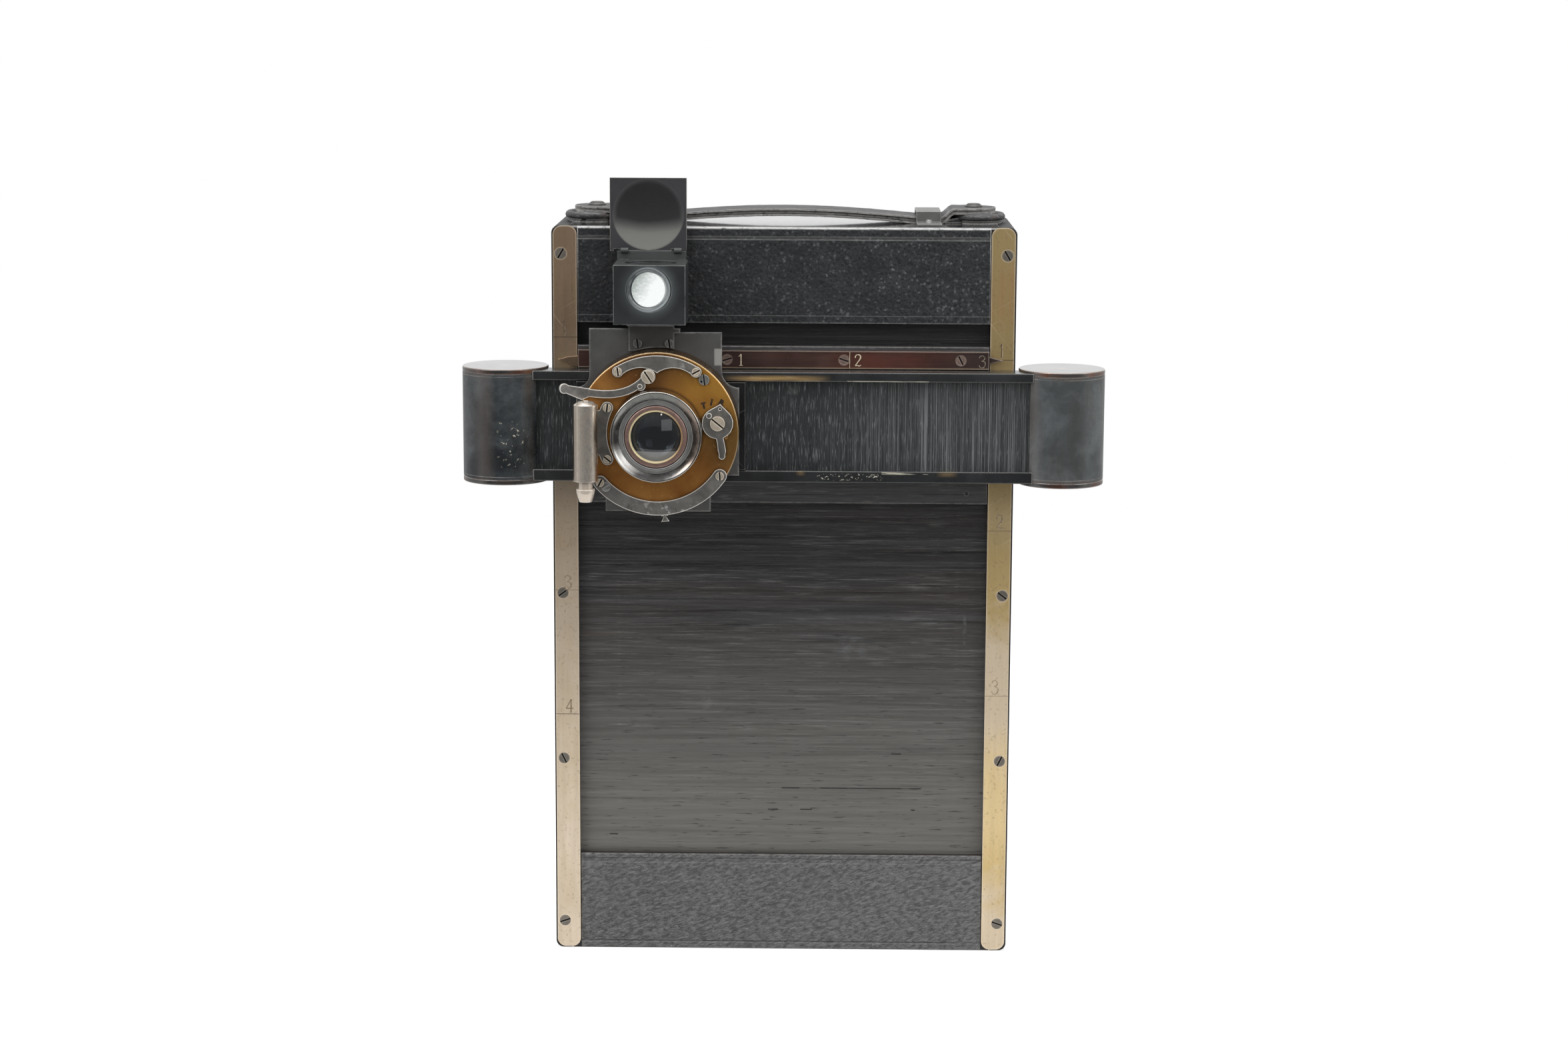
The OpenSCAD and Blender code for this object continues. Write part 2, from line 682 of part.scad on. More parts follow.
module housing_caps() color("#8a6247") both_sides() difference() {
    union() {
        rod_z([housing_x, housing_y], housing_r, housing_low_z, housing_low_z + cap_t);
        rod_z([housing_x, housing_y], housing_r, housing_top_z - cap_t, housing_top_z);
    }
    rod_z([housing_x, housing_y], pivot_r + pivot_gap, housing_low_z + cap_t - end_pivot_l - 0.2,
        housing_top_z - cap_t + end_pivot_l + 0.2);
}
module end_roller() {
    low_z = housing_low_z + cap_t;
    top_z = housing_top_z - cap_t;
    rod_z([housing_x, housing_y], end_roller_r, low_z + slide_gap, top_z - slide_gap);
    rod_z([housing_x, housing_y], pivot_r, low_z - end_pivot_l, top_z + end_pivot_l);
}
module left_roller() color("#5b4636") mirror([1, 0, 0]) end_roller();
module right_roller() color("#5b4636") end_roller();

// Lens board, which slides between the two bars
module lens_panel() color("#191a1b") difference() {
    union() {
        block([panel_left, panel_right], [groove_front_y + slide_gap, groove_back_y - slide_gap],
            [groove_low_z + slide_gap, groove_top_z - slide_gap]);
        block([panel_left, panel_right], [panel_front_y, groove_back_y - slide_gap],
            [window_low_z + slide_gap, window_top_z - slide_gap]);
    }
    rod_y([lens_x, lens_z], rear_cell_r + 0.05, panel_front_y - 1, groove_back_y);
}
module lens_plate() color("#1c1d1f") at_lens() difference() {
    across_y(lens_plate_front_y, panel_front_y) {
        span([-body_reach[0], body_reach[1]], [-body_low, body_high]);
        span([-wing_reach[0], wing_reach[1]], [0, wing_high]);
        span([-wing_reach[0], wing_step_reach], [0, wing_high + wing_step]);
        span([-skirt_reach[0], skirt_reach[1]], [-skirt_low, 0]);
        for (i = [0, 1]) scale_x(2 * i - 1) difference() {
            span([0, wing_reach[i] + hollow_r[i]], [0, body_high + hollow_r[i]]);
            translate([wing_reach[i] + hollow_r[i], body_high + hollow_r[i]]) circle(hollow_r[i]);
        }
    }
    rod_y([0, 0], rear_cell_r + 0.05, lens_plate_front_y - 1, panel_front_y + 1);
}
// Tapered tunnel that keeps each picture to its own place on the plate
module exposure_chamber() color("#161617") {
    front_y = groove_back_y - slide_gap;
    back_y = back_frame_front_y - 0.5;
    difference() {
        hull() {
            around_lens(chamber_mouth, front_y, 0.1);
            around_lens(chamber_end, back_y - 0.1, 0.1);
        }
        hull() {
            around_lens(chamber_mouth - chamber_wall * [1, 1], front_y - 0.1, 0.1);
            around_lens(chamber_end - chamber_wall * [1, 1], back_y, 0.1);
        }
    }
}
// A thin block about the lens axis, with half its width and height given
module around_lens(half, y, t) {
    translate([lens_x - half[0], y, lens_z - half[1]]) cube([2 * half[0], t, 2 * half[1]]);
}
module side_blind(x0, x1) {
    difference() {
        block([x0, x1], [side_blind_front_y, side_blind_back_y],
            [groove_low_z + slide_gap, groove_top_z - slide_gap]);
        for (x = [x0 + slat_w:slat_w:x1 - slat_w])
            block([x, x + slat_groove], [side_blind_front_y - 1, side_blind_front_y + slat_groove],
                [groove_low_z, groove_top_z]);
    }
}
module left_blind() color("#1f1e1e") side_blind(-housing_x, panel_left);
module right_blind() color("#1f1e1e") side_blind(panel_right, housing_x);

// Shutter
module shutter_case() color("#9a6a2c") at_lens() {
    difference() {
        rod_y([0, 0], shutter_r, face_back_y, lens_plate_front_y);
        rod_y([0, 0], shutter_r - shutter_wall, face_back_y - 1, case_floor_y);
        rod_y([0, 0], rear_cell_r + 0.05, face_back_y, lens_plate_front_y + 1);
        across_y(stop_ring_front_y - slide_gap, stop_ring_back_y + slide_gap)
            wedge(270 - stop_slot_angle, 270 + stop_slot_angle, shutter_r);
    }
    for (side = [-1, 1])
        rod_y([blade_pivot[0], side * blade_pivot[1]], blade_pivot_r, upper_blade_y - 0.6, case_floor_y);
}
module shutter_face() color("#a9681c") at_lens() difference() {
    union() {
        rod_y([0, 0], shutter_r - 0.3, face_front_y, face_back_y);
        rod_y([0, 0], shutter_r, face_front_y + 0.3, face_back_y);
    }
    rod_y([0, 0], spigot_r, face_front_y - 1, face_back_y + 1);
    for (at = [lever_pivot, mode_pivot]) rod_y(at, 0.9, face_front_y - 1, face_back_y + 1);
}

module bridge_plate() {
    difference() {
        intersection() {
            circle(bridge_r);
            wedge(90 - bridge_angle, 90 + bridge_angle, bridge_r);
        }
        circle(bridge_in_r);
        for (side = [-1, 1]) translate([side * bridge_scallop[0], bridge_scallop[1]]) circle(bridge_scallop_r);
    }
    for (side = [-1, 1]) translate([side * bridge_end[0], bridge_end[1]]) circle(1.85);
}
module side_plate() {
    mid_r = (side_plate_in_r + side_plate_out_r) / 2;
    difference() {
        circle(side_plate_out_r);
        circle(side_plate_in_r);
        difference() {
            circle(2 * side_plate_out_r);
            wedge(180 - side_plate_angle, 180 + side_plate_angle, 2 * side_plate_out_r);
        }
    }
    for (side = [-1, 1]) rotate(180 + side * side_plate_angle)
        translate([mid_r, 0]) circle(mid_r - side_plate_in_r);
    root_x = -(side_plate_in_r + side_plate_out_r + 1) / 2;
    polygon([[root_x, seat_z[1] + 2.5], [air_x - seat_reach, seat_z[1]], [air_x - seat_reach, seat_z[0]],
        [root_x, seat_z[0] - 2.5]]);
}
module arc_plate() {
    mid_r = (arc_plate_in_r + arc_plate_out_r) / 2;
    difference() {
        intersection() {
            circle(arc_plate_out_r);
            wedge(arc_left_angle, arc_right_angle, arc_plate_out_r);
        }
        circle(arc_plate_in_r);
    }
    for (a = [arc_left_angle, arc_right_angle]) rotate(a) translate([mid_r, 0]) circle(mid_r - arc_plate_in_r);
}
module nickel_plates() color("#a7a5a0") at_lens() across_y(nickel_front_y, face_front_y) {
    bridge_plate();
    side_plate();
    arc_plate();
}
function on_ring(r, a) = r * [cos(a), sin(a)];
module shutter_screws() color("#bdbab2") at_lens() {
    side_r = (side_plate_in_r + side_plate_out_r) / 2;
    arc_r = (arc_plate_in_r + arc_plate_out_r) / 2;
    places = [
        [bridge_end, 150], [[-bridge_end[0], bridge_end[1]], 80],
        [on_ring(side_r, 180 - side_plate_angle), 95], [on_ring(side_r, 180 + side_plate_angle), 40],
        [on_ring(arc_r, arc_left_angle), 120], [on_ring(arc_r, arc_right_angle), 85]
    ];
    for (place = places)
        screw_y(place[0], face_screw_r, 0.6, 0.6, nickel_t + face_t, nickel_front_y, place[1]);
    screw_y(cover_screw, cover_screw_r, 0.5, 0.9, face_t, face_front_y, 80);
    // The two levers turn on shouldered screws
    screw_y(lever_pivot, lever_screw_r, 0.8, 0.85, 2 * (nickel_t + slide_gap) + face_t,
        lever_front_y - slide_gap, 55);
    rod_y(lever_pivot, 1.9, face_front_y - nickel_t, face_front_y);
    screw_y(mode_pivot, mode_screw_r, 0.7, 0.85, 2 * slide_gap + nickel_t + face_t,
        mode_front_y - slide_gap, 40);
}

// Levers
function bezier(p, t) = let (u = 1 - t)
    u * u * u * p[0] + 3 * u * u * t * p[1] + 3 * u * t * t * p[2] + t * t * t * p[3];
function bezier_way(p, t) = let (d = bezier(p, t + 0.01) - bezier(p, t - 0.01)) d / norm(d);
function beside(p, t, w) = let (d = bezier_way(p, t)) bezier(p, t) + w * [-d[1], d[0]];
lever_route = [[-4.2, 18.6], [-8.4, 14.2], [-14, 12.6], [-23.2, 14]];
module release_lever() color("#b4b1aa") at_lens() {
    half = 1.3;
    steps = [for (i = [0:10]) i / 10];
    difference() {
        across_y(lever_front_y, lever_back_y) {
            translate(lever_pivot) circle(lever_screw_r + 0.25);
            polygon([
                for (t = steps) beside(lever_route, t, -half),
                for (i = [10:-1:0]) beside(lever_route, steps[i], half)
            ]);
            translate([-5.4, 16.4]) circle(1.6);
        }
        rod_y(lever_pivot, 0.85 + pivot_gap, lever_front_y - 1, lever_back_y + 1);
    }
    rod_y([-5.65, 16.25], 0.85, lever_front_y - 0.3, lever_front_y);
    // The finger piece is bent forwards over the air cylinder
    bend_x = -23.2;
    translate([bend_x, lever_back_y, 0]) rotate([0, 0, 30]) translate([-bend_x, -lever_back_y, 0])
        across_y(lever_front_y, lever_back_y) {
            polygon([[bend_x - 5, 16.4], [bend_x - 10, 17.4], [bend_x - 8.4, 14.2], [bend_x - 2.8, 11.75],
                [bend_x + 0.4, 12.75], [bend_x + 0.4, 15.3]]);
            translate([bend_x - 9.2, 15.9]) circle(1.7);
        }
}
module mode_lever() color("#aaa8a2") at_lens() {
    r = 5.25;
    tip = mode_pivot + [0.9, 6.5];
    grip_top = mode_pivot + [0.7, -r + 0.4];
    grip_low = mode_pivot + [1.5, -10.6];
    difference() {
        across_y(mode_front_y, mode_back_y) {
            translate(mode_pivot) circle(r);
            polygon([tip, mode_pivot + r * [-cos(60), sin(60)], mode_pivot, mode_pivot + r * [cos(48), sin(48)]]);
            polygon([grip_top + [-1.3, 0], grip_top + [-0.8, -2], grip_low + [-1.35, 1.2],
                grip_low + [-0.7, -0.9], grip_low + [0.9, -0.9], grip_low + [1.35, 1.2], grip_top + [1.3, 0]]);
            translate(grip_low + [0, -0.6]) circle(1.1);
        }
        rod_y(mode_pivot, 0.85 + pivot_gap, mode_front_y - 1, mode_back_y + 1);
        rod_y(mode_pivot + [0.8, 4.9], 0.4, mode_front_y - 1, mode_back_y + 1);
    }
    rod_y(mode_pivot + [-2.9, 2.6], 0.95, mode_front_y - 0.4, mode_front_y);
}
// Ring that carries the iris pointer through a slot in the shutter case
module stop_ring() color("#b4b1aa") at_lens() difference() {
    across_y(stop_ring_front_y, stop_ring_back_y) {
        circle(shutter_r - shutter_wall - slide_gap);
        rotate(stop_angle) {
            span([-1.2, 1.2], [-shutter_r - 1, -shutter_r + 4]);
            polygon([[0, -shutter_r - 0.5], [-1.4, -shutter_r - 3], [1.4, -shutter_r - 3]]);
        }
    }
    rod_y([0, 0], spigot_r + pivot_gap, stop_ring_front_y - 1, stop_ring_back_y + 1);
}
module blade(y) {
    difference() {
        across_y(y, y + blade_t) {
            intersection() {
                circle(10.5);
                span([-12, 12], [-0.8, 12]);
            }
            polygon([[5, 0], blade_pivot - [0, 1.6], blade_pivot + [0, 1.6], [5, 8.5]]);
            translate(blade_pivot) circle(2);
        }
        rod_y(blade_pivot, blade_pivot_r + pivot_gap, y - 1, y + 1);
    }
}
module upper_blade() color("#3a3b3d") at_lens() blade(upper_blade_y);
module lower_blade() color("#3a3b3d") at_lens() mirror([0, 0, 1]) blade(lower_blade_y);

module air_cylinder() color("#cfccc4") at_lens() {
    floor_z = air_low_z + 1;
    difference() {
        union() {
            rod_z([air_x, air_y], air_r, air_low_z, air_top_z);
            translate([air_x, air_y, air_top_z]) cylinder(r1 = air_r, r2 = air_r - 1.4, h = 1);
            block([air_x - 1.6, air_x + 1.6], [air_y, nickel_front_y], [-4.5, 4.5]);
        }
        rod_z([air_x, air_y], air_r - 0.7, floor_z, air_top_z - 0.8);
        rod_z([air_x, air_y], 0.9 + pivot_gap, floor_z, air_top_z + 2);
    }
    // Nipple for the rubber hose
    translate([air_x, air_y, 0]) difference() {
        union() {
            rod_z([0, 0], 2.25, air_low_z - 2.8, air_low_z);
            translate([0, 0, air_low_z - 3.8]) cylinder(r = 2.95, h = 1.1);
            translate([0, 0, air_low_z - 7.1]) cylinder(r1 = 2.05, r2 = 2.95, h = 3.3);
        }
        rod_z([0, 0], 0.8, air_low_z - 8, floor_z + 1);
    }
}
module air_piston() color("#8d8d8f") at_lens() {
    rod_z([air_x, air_y], air_r - 0.7 - pivot_gap, air_low_z + 12, air_low_z + 16);
    rod_z([air_x, air_y], 0.9, air_low_z + 12, air_top_z + 1.4);
}

// Lens
module ring_profile(points) {
    rotate([90, 0, 0]) rotate_extrude() polygon(points);
}
module lens_barrel() color("#b9b6af") at_lens() difference() {
    union() {
        rod_y([0, 0], barrel_r, barrel_front_y + bevel_depth, face_front_y);
        rod_y([0, 0], spigot_r - 0.02, face_front_y, stop_ring_back_y + 1.5);
        ring_profile([[0, bevel_y], [barrel_r, bevel_y], [barrel_r, bevel_y + 0.7],
            [barrel_r - 0.5, bevel_y + bevel_depth], [cell_r, bevel_y]]);
    }
    rod_y([0, 0], cell_r, barrel_front_y - 1, stop_ring_back_y + 3);
}
module lens_cell() color("#6f4f45") at_lens() difference() {
    rod_y([0, 0], cell_r - 0.02, barrel_front_y + 0.9, stop_ring_back_y + 1.5);
    rod_y([0, 0], glass_r, barrel_front_y, stop_ring_back_y + 3);
    rod_y([0, 0], glass_r + 0.8, barrel_front_y + 2, barrel_front_y + 7);
}
module biconvex(r, y0, y1, bulge) {
    depth = y1 - y0;
    ball = (r * r + bulge * bulge) / (2 * bulge);
    intersection() {
        rod_y([0, 0], r, y0 - bulge, y1 + bulge);
        translate([0, y0 - bulge + ball, 0]) rotate([90, 0, 0]) sphere(ball, $fn = 128);
        translate([0, y1 + bulge - ball, 0]) rotate([90, 0, 0]) sphere(ball, $fn = 128);
    }
}
module front_lens() color("#9fb2c4", 0.5) at_lens()
    biconvex(glass_r + 0.75, barrel_front_y + 3.2, barrel_front_y + 5.2, 1.3);
module rear_cell() color("#a8853f") at_lens() difference() {
    rod_y([0, 0], rear_cell_r, lower_blade_y + blade_t + 0.5, groove_back_y - slide_gap);
    rod_y([0, 0], rear_glass_r - 0.6, lower_blade_y, groove_back_y + 1);
    rod_y([0, 0], rear_glass_r, lens_plate_front_y - 0.6, lens_plate_front_y + 4.4);
}
module rear_lens() color("#9fb2c4", 0.5) at_lens()
    biconvex(rear_glass_r - 0.05, lens_plate_front_y + 1, lens_plate_front_y + 2.8, 0.9);

// Finder
module at_finder() {
    translate([lens_x + finder_x, 0, 0]) children();
}
module finder_box() color("#17181a") at_finder() {
    w = finder_w / 2;
    difference() {
        block([-w, w], [finder_front_y, finder_back_y], [finder_low_z, finder_top_z]);
        block([-w + finder_wall, w - finder_wall], [finder_front_y + finder_wall, finder_back_y - finder_wall],
            [finder_low_z + finder_wall, finder_top_z - 2.2]);
        rod_y([0, finder_axis_z], finder_rim_r, finder_front_y - 1, finder_front_y + 0.4);
        rod_y([0, finder_axis_z], finder_glass_r, finder_front_y - 1, finder_front_y + 2);
        rod_z([0, (finder_front_y + finder_back_y) / 2], top_glass_r, finder_top_z - 3, finder_top_z + 1);
    }
    for (side = [-1, 1]) scale_x(side) {
        difference() {
            union() {
                rod_x([hinge_y, hinge_z], hinge_r, w - 4, w - 0.6);
                block([w - 4, w - 0.6], [finder_back_y - 1, hinge_y], [hinge_z - hinge_r - 0.6, hinge_z - 0.6]);
            }
            rod_x([hinge_y, hinge_z], hinge_pin_r, w - 5, w);
        }
    }
    rod_x([hinge_y, hinge_z], hinge_pin_r, -w + 0.6, w - 0.6);
}
module finder_optics() color("#dfe6ea", 0.6) at_finder() {
    mid_y = (finder_front_y + finder_back_y) / 2;
    inner = finder_w / 2 - finder_wall;
    rod_y([0, finder_axis_z], finder_glass_r, finder_front_y + 0.4, finder_front_y + 1.6);
    rod_y([0, finder_axis_z], finder_glass_r + 0.7, finder_front_y + finder_wall, finder_front_y + 1.6);
    rod_z([0, mid_y], top_glass_r, finder_top_z - 2.2, finder_top_z - 0.5);
    rod_z([0, mid_y], top_glass_r + 0.8, finder_top_z - 3, finder_top_z - 2.2);
    // Mirror at 45 degrees from the bottom front to the top back
    reach = (finder_depth - 2 * finder_wall) - 2.6;
    across_x(-inner + 0.1, inner - 0.1) polygon([
        [finder_front_y + finder_wall + 1.4, finder_low_z + finder_wall],
        [finder_front_y + finder_wall + 2.8, finder_low_z + finder_wall],
        [finder_front_y + finder_wall + 2 + reach * 0.8, finder_low_z + finder_wall + reach * 0.8 - 0.8],
        [finder_front_y + finder_wall + 1.3 + reach * 0.8, finder_low_z + finder_wall + reach * 0.8 - 0.1]
    ]);
}
// Angle bracket screwed to the lens plate, with a shelf under the finder
module finder_bracket() color("#1c1d1f") {
    x = [lens_x + finder_x - bracket_w / 2, lens_x + finder_x + bracket_w / 2];
    front_y = lens_plate_front_y - bracket_sheet;
    difference() {
        block(x, [front_y, lens_plate_front_y], [lens_z + wing_high - bracket_drop, finder_low_z]);
        rod_y([lens_x, lens_z], shutter_r + slide_gap, front_y - 1, lens_plate_front_y + 1);
    }
    ear_z = lens_z + wing_high - 0.3;
    block([x[1] - 0.1, x[1] + 2], [front_y, lens_plate_front_y], [ear_z, ear_z + 1.7]);
    block(x, [finder_front_y + 4, front_y + 0.1], [finder_low_z - bracket_sheet, finder_low_z]);
    screw_z = lens_z + wing_high - 3.8;
    for (side = [-1, 1])
        screw_y([lens_x + finder_x + 0.7 + side * bracket_screw_x, screw_z], 1.55, 0.6, 0.7, 1.8, front_y, 80);
}
// Lid with a round dish, which stands up behind the top lens and folds down over it
module finder_lid() color("#1a1b1d") at_finder() {
    dish_z = lid_low_z + lid_h / 2;
    ball = (dish_r * dish_r + dish_depth * dish_depth) / (2 * dish_depth);
    w = finder_w / 2;
    difference() {
        union() {
            across_y(lid_front_y, lid_front_y + lid_t)
                span([-lid_w / 2, lid_w / 2], [lid_low_z, lid_low_z + lid_h]);
            intersection() {
                rod_y([0, dish_z], dish_r, lid_front_y, lid_front_y + dish_depth + lid_t + 1);
                translate([0, lid_front_y + lid_t + dish_depth - ball, dish_z])
                    rotate([90, 0, 0]) sphere(ball, $fn = 96);
            }
            rod_x([hinge_y, hinge_z], hinge_r, -w + 4.3, w - 4.3);
            block([-w + 4.3, w - 4.3], [lid_front_y, lid_front_y + lid_t], [hinge_z, lid_low_z + 0.1]);
        }
        translate([0, lid_front_y + dish_depth - ball, dish_z]) rotate([90, 0, 0]) sphere(ball, $fn = 96);
        rod_x([hinge_y, hinge_z], hinge_pin_r + pivot_gap, -w, w);
        both_sides() rod_x([hinge_y, hinge_z], hinge_r + slide_gap, w - 4.3, w - 0.3);
    }
}

left_side_board();
right_side_board();
top_board();
base_board();
front_boards();
case_leather();
left_rail();
right_rail();
rail_screws();
blind_guides();
roller_brackets();
back_frame();
tripod_bush();
handle_strap();
handle_loops();
handle_fittings();
back_springs();
spring_screws();
upper_roller();
lower_roller();
focusing_frame();
ground_glass();
glass_bead();
carriage_board();
upper_blind();
lower_blind();
scale_bar();
scale_screws();
row_pointers();
carriage_frame();
housings();
housing_caps();
left_roller();
right_roller();
lens_panel();
lens_plate();
exposure_chamber();
left_blind();
right_blind();
shutter_case();
shutter_face();
nickel_plates();
shutter_screws();
lens_barrel();
lens_cell();
front_lens();
rear_cell();
rear_lens();
air_cylinder();
air_piston();
release_lever();
mode_lever();
stop_ring();
upper_blade();
lower_blade();
finder_box();
finder_optics();
finder_bracket();
finder_lid();
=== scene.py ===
"""Dresses the solids of a multiplying camera: case, carriage, lens board, shutter and finder."""

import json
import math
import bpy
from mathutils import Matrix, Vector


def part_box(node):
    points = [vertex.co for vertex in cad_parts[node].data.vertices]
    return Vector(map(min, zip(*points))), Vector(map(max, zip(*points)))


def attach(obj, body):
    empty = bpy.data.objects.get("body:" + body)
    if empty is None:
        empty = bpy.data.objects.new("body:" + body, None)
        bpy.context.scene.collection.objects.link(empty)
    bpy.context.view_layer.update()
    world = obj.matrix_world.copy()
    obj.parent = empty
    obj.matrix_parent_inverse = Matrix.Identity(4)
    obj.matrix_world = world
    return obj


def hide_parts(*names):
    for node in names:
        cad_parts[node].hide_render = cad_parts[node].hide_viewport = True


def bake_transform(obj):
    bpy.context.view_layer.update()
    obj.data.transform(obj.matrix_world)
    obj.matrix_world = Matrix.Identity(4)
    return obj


bl_info = {
    "name": "Multiplying camera",
    "version": (1, 0, 0),
    "blender": (4, 5, 0),
    "location": "View3D > Sidebar > Camera",
    "description": "Gives the solids of a wood and leather multiplying camera their shapes and finishes",
    "category": "Add Mesh",
}

from functools import reduce

import bmesh
import bpy
from bpy.props import FloatProperty, FloatVectorProperty, IntProperty, PointerProperty
from mathutils import Matrix, Vector, noise

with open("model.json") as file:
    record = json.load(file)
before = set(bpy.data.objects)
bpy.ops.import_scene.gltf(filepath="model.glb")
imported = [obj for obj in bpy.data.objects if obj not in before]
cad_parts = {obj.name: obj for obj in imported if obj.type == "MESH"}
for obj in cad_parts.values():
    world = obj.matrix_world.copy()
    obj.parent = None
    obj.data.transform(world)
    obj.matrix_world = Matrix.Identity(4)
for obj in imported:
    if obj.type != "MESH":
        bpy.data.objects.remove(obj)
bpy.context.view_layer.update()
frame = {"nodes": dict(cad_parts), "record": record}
MM = 0.001


# Places on the camera, in millimetres
LENS = (-42.333, 188.767)
CASE_HEIGHT = 257.0
RAIL_FRONT = -27.5
FACE_FRONT = -52.0
FINDER_X = -44.853
FINDER_AXIS = 237.567
AIR_X = -66.083


def tint(red, green, blue):
    """A colour given as on a screen, from 0 to 255, as Blender's linear one."""
    shares = (channel / 255 for channel in (red, green, blue))
    return tuple(s / 12.92 if s <= 0.04045 else ((s + 0.055) / 1.055) ** 2.4 for s in shares)


def colour_property(name, description, red, green, blue):
    return FloatVectorProperty(name=name, description=description, default=tint(red, green, blue),
                               size=3, subtype="COLOR", min=0, max=1)


def length_property(name, description, value, low, high):
    return FloatProperty(name=name, description=description, default=value * MM, min=low * MM,
                         max=high * MM, subtype="DISTANCE", unit="LENGTH", precision=5)


class CameraSizes(bpy.types.PropertyGroup):
    """Sizes of the details"""
    wood_edge: length_property("Wood edge", "Rounding of the wooden edges", 0.5, 0.1, 1.0)
    metal_edge: length_property("Metal edge", "Rounding of the thin metal edges", 0.15, 0.02, 0.3)
    leather_edge: length_property("Leather edge", "Rounding of the turned leather edges", 0.3, 0.1, 0.6)
    pebble: length_property("Leather pebble", "Size of one pebble of the leather", 1.6, 0.8, 5.0)
    milled_teeth: IntProperty(name="Milled teeth", description="Teeth round the lens barrel's rim",
                              default=180, min=60, max=240)
    scale_figure: length_property("Scale figure", "Height of the figures on the scale bar", 3.9, 3.0, 5.0)
    rail_figure: length_property("Rail figure", "Height of the figures on the rails", 4.6, 3.0, 6.0)
    floor_reach: length_property("Floor reach", "How far the table reaches in front of the camera",
                                 350, 300, 2000)
    lamp_level: FloatProperty(name="Lamp level", description="Strength of all lamps", default=1.0,
                              min=0.2, max=3.0)
    lens_length: FloatProperty(name="Focal length", description="Focal length of the view in millimetres",
                               default=72.44, min=30, max=200)


class CameraColours(bpy.types.PropertyGroup):
    """Colours of the finishes"""
    leather: colour_property("Leather", "Black covering leather", 31, 32, 34)
    strap: colour_property("Strap leather", "Leather of the handle", 56, 55, 57)
    ebonised: colour_property("Ebonised wood", "Black stained wood", 30, 29, 29)
    board: colour_property("Carriage wood", "Stained wood of the carriage board", 48, 47, 48)
    mahogany: colour_property("Mahogany", "Polished wood of the back", 92, 50, 30)
    veneer: colour_property("Veneer", "Stained veneer of the blinds", 44, 43, 44)
    lacquer: colour_property("Black lacquer", "Lacquer of the frame and the lens board", 22, 23, 25)
    finder: colour_property("Finder lacquer", "Satin lacquer of the finder", 30, 32, 34)
    housing: colour_property("Housing lacquer", "Lacquer of the two cylinders", 27, 30, 32)
    copper: colour_property("Worn copper", "Metal that shows where lacquer is worn", 158, 104, 80)
    amber: colour_property("Amber lacquer", "Lacquered brass of the shutter", 176, 106, 20)
    gold: colour_property("Gold lacquer", "Lighter part of the lacquered brass", 214, 158, 34)
    nickel: colour_property("Nickel", "Tarnished nickel", 168, 165, 160)
    bright_nickel: colour_property("Bright nickel", "Nickel of the air cylinder", 214, 205, 194)
    steel: colour_property("Steel", "Screws", 120, 114, 106)
    brass: colour_property("Brass", "Brass of the back and the rollers", 186, 146, 74)
    rail_dark: colour_property("Rail bronze", "Tarnished upper part of the rails", 142, 120, 98)
    rail_light: colour_property("Rail silver", "Rubbed lower part of the rails", 220, 204, 182)
    rail_gold: colour_property("Rail gold", "Yellow brass of the right rail", 192, 168, 116)
    scale: colour_property("Scale bar", "Red-brown lacquer of the scale bar", 70, 46, 40)
    gilt: colour_property("Gilt", "Paint of the figures", 196, 184, 158)
    cell: colour_property("Cell brass", "Pinkish brass of the lens cell", 140, 114, 106)
    floor: colour_property("Floor", "Table under the camera", 190, 190, 190)


# Materials

class Tree:
    """Lays out the nodes of a material or of a shared effect."""

    def __init__(self, nodes, links):
        self.nodes = nodes
        self.links = links

    def node(self, kind, inputs=None, **settings):
        made = self.nodes.new("ShaderNode" + kind)
        for name, value in settings.items():
            setattr(made, name, value)
        for key, value in (inputs or {}).items():
            self.put(made.inputs[key], value)
        return made

    def put(self, socket, value):
        if isinstance(value, bpy.types.NodeSocket):
            self.links.new(value, socket)
        elif socket.type == "RGBA" and len(value) == 3:
            socket.default_value = (*value, 1)
        else:
            socket.default_value = value

    def sum(self, kind, first, second=0.0, third=0.0):
        return self.node("Math", {0: first, 1: second, 2: third}, operation=kind).outputs[0]

    def times(self, *factors):
        return reduce(lambda one, two: self.sum("MULTIPLY", one, two), factors)

    def most(self, *values):
        return reduce(lambda one, two: self.sum("MAXIMUM", one, two), values)

    def plus(self, *values):
        return reduce(lambda one, two: self.sum("ADD", one, two), values)

    def minus(self, first, second):
        return self.sum("SUBTRACT", first, second)

    def absolute(self, value):
        return self.sum("ABSOLUTE", value)

    def gap(self, first, second):
        return self.absolute(self.minus(first, second))

    def ramp(self, value, low, high, start=0.0, end=1.0):
        return self.node("MapRange", {"Value": value, "From Min": low, "From Max": high,
                                      "To Min": start, "To Max": end}).outputs["Result"]

    def span(self, mask, start, end):
        """Turns a mask's 0 and 1 into start and end."""
        return self.ramp(mask, 0.0, 1.0, start, end)

    def mix(self, share, under, over):
        return self.node("Mix", {0: share, 6: under, 7: over}, data_type="RGBA").outputs[2]

    def scaled(self, place, stretch):
        return self.node("VectorMath", {0: place, 1: stretch}, operation="MULTIPLY").outputs[0]

    def noise(self, place, scale, detail=3.0, roughness=0.55, distortion=0.0):
        return self.node("TexNoise", {"Vector": place, "Scale": scale, "Detail": detail,
                                      "Roughness": roughness, "Distortion": distortion}).outputs[0]


def fill_grain(tree, takes):
    """Long fibres: fine noise drawn out along one direction."""
    fibres = tree.noise(tree.scaled(takes["Place"], takes["Stretch"]), 1.0, takes["Detail"], 0.62)
    return [tree.ramp(fibres, 0.28, 0.72)]


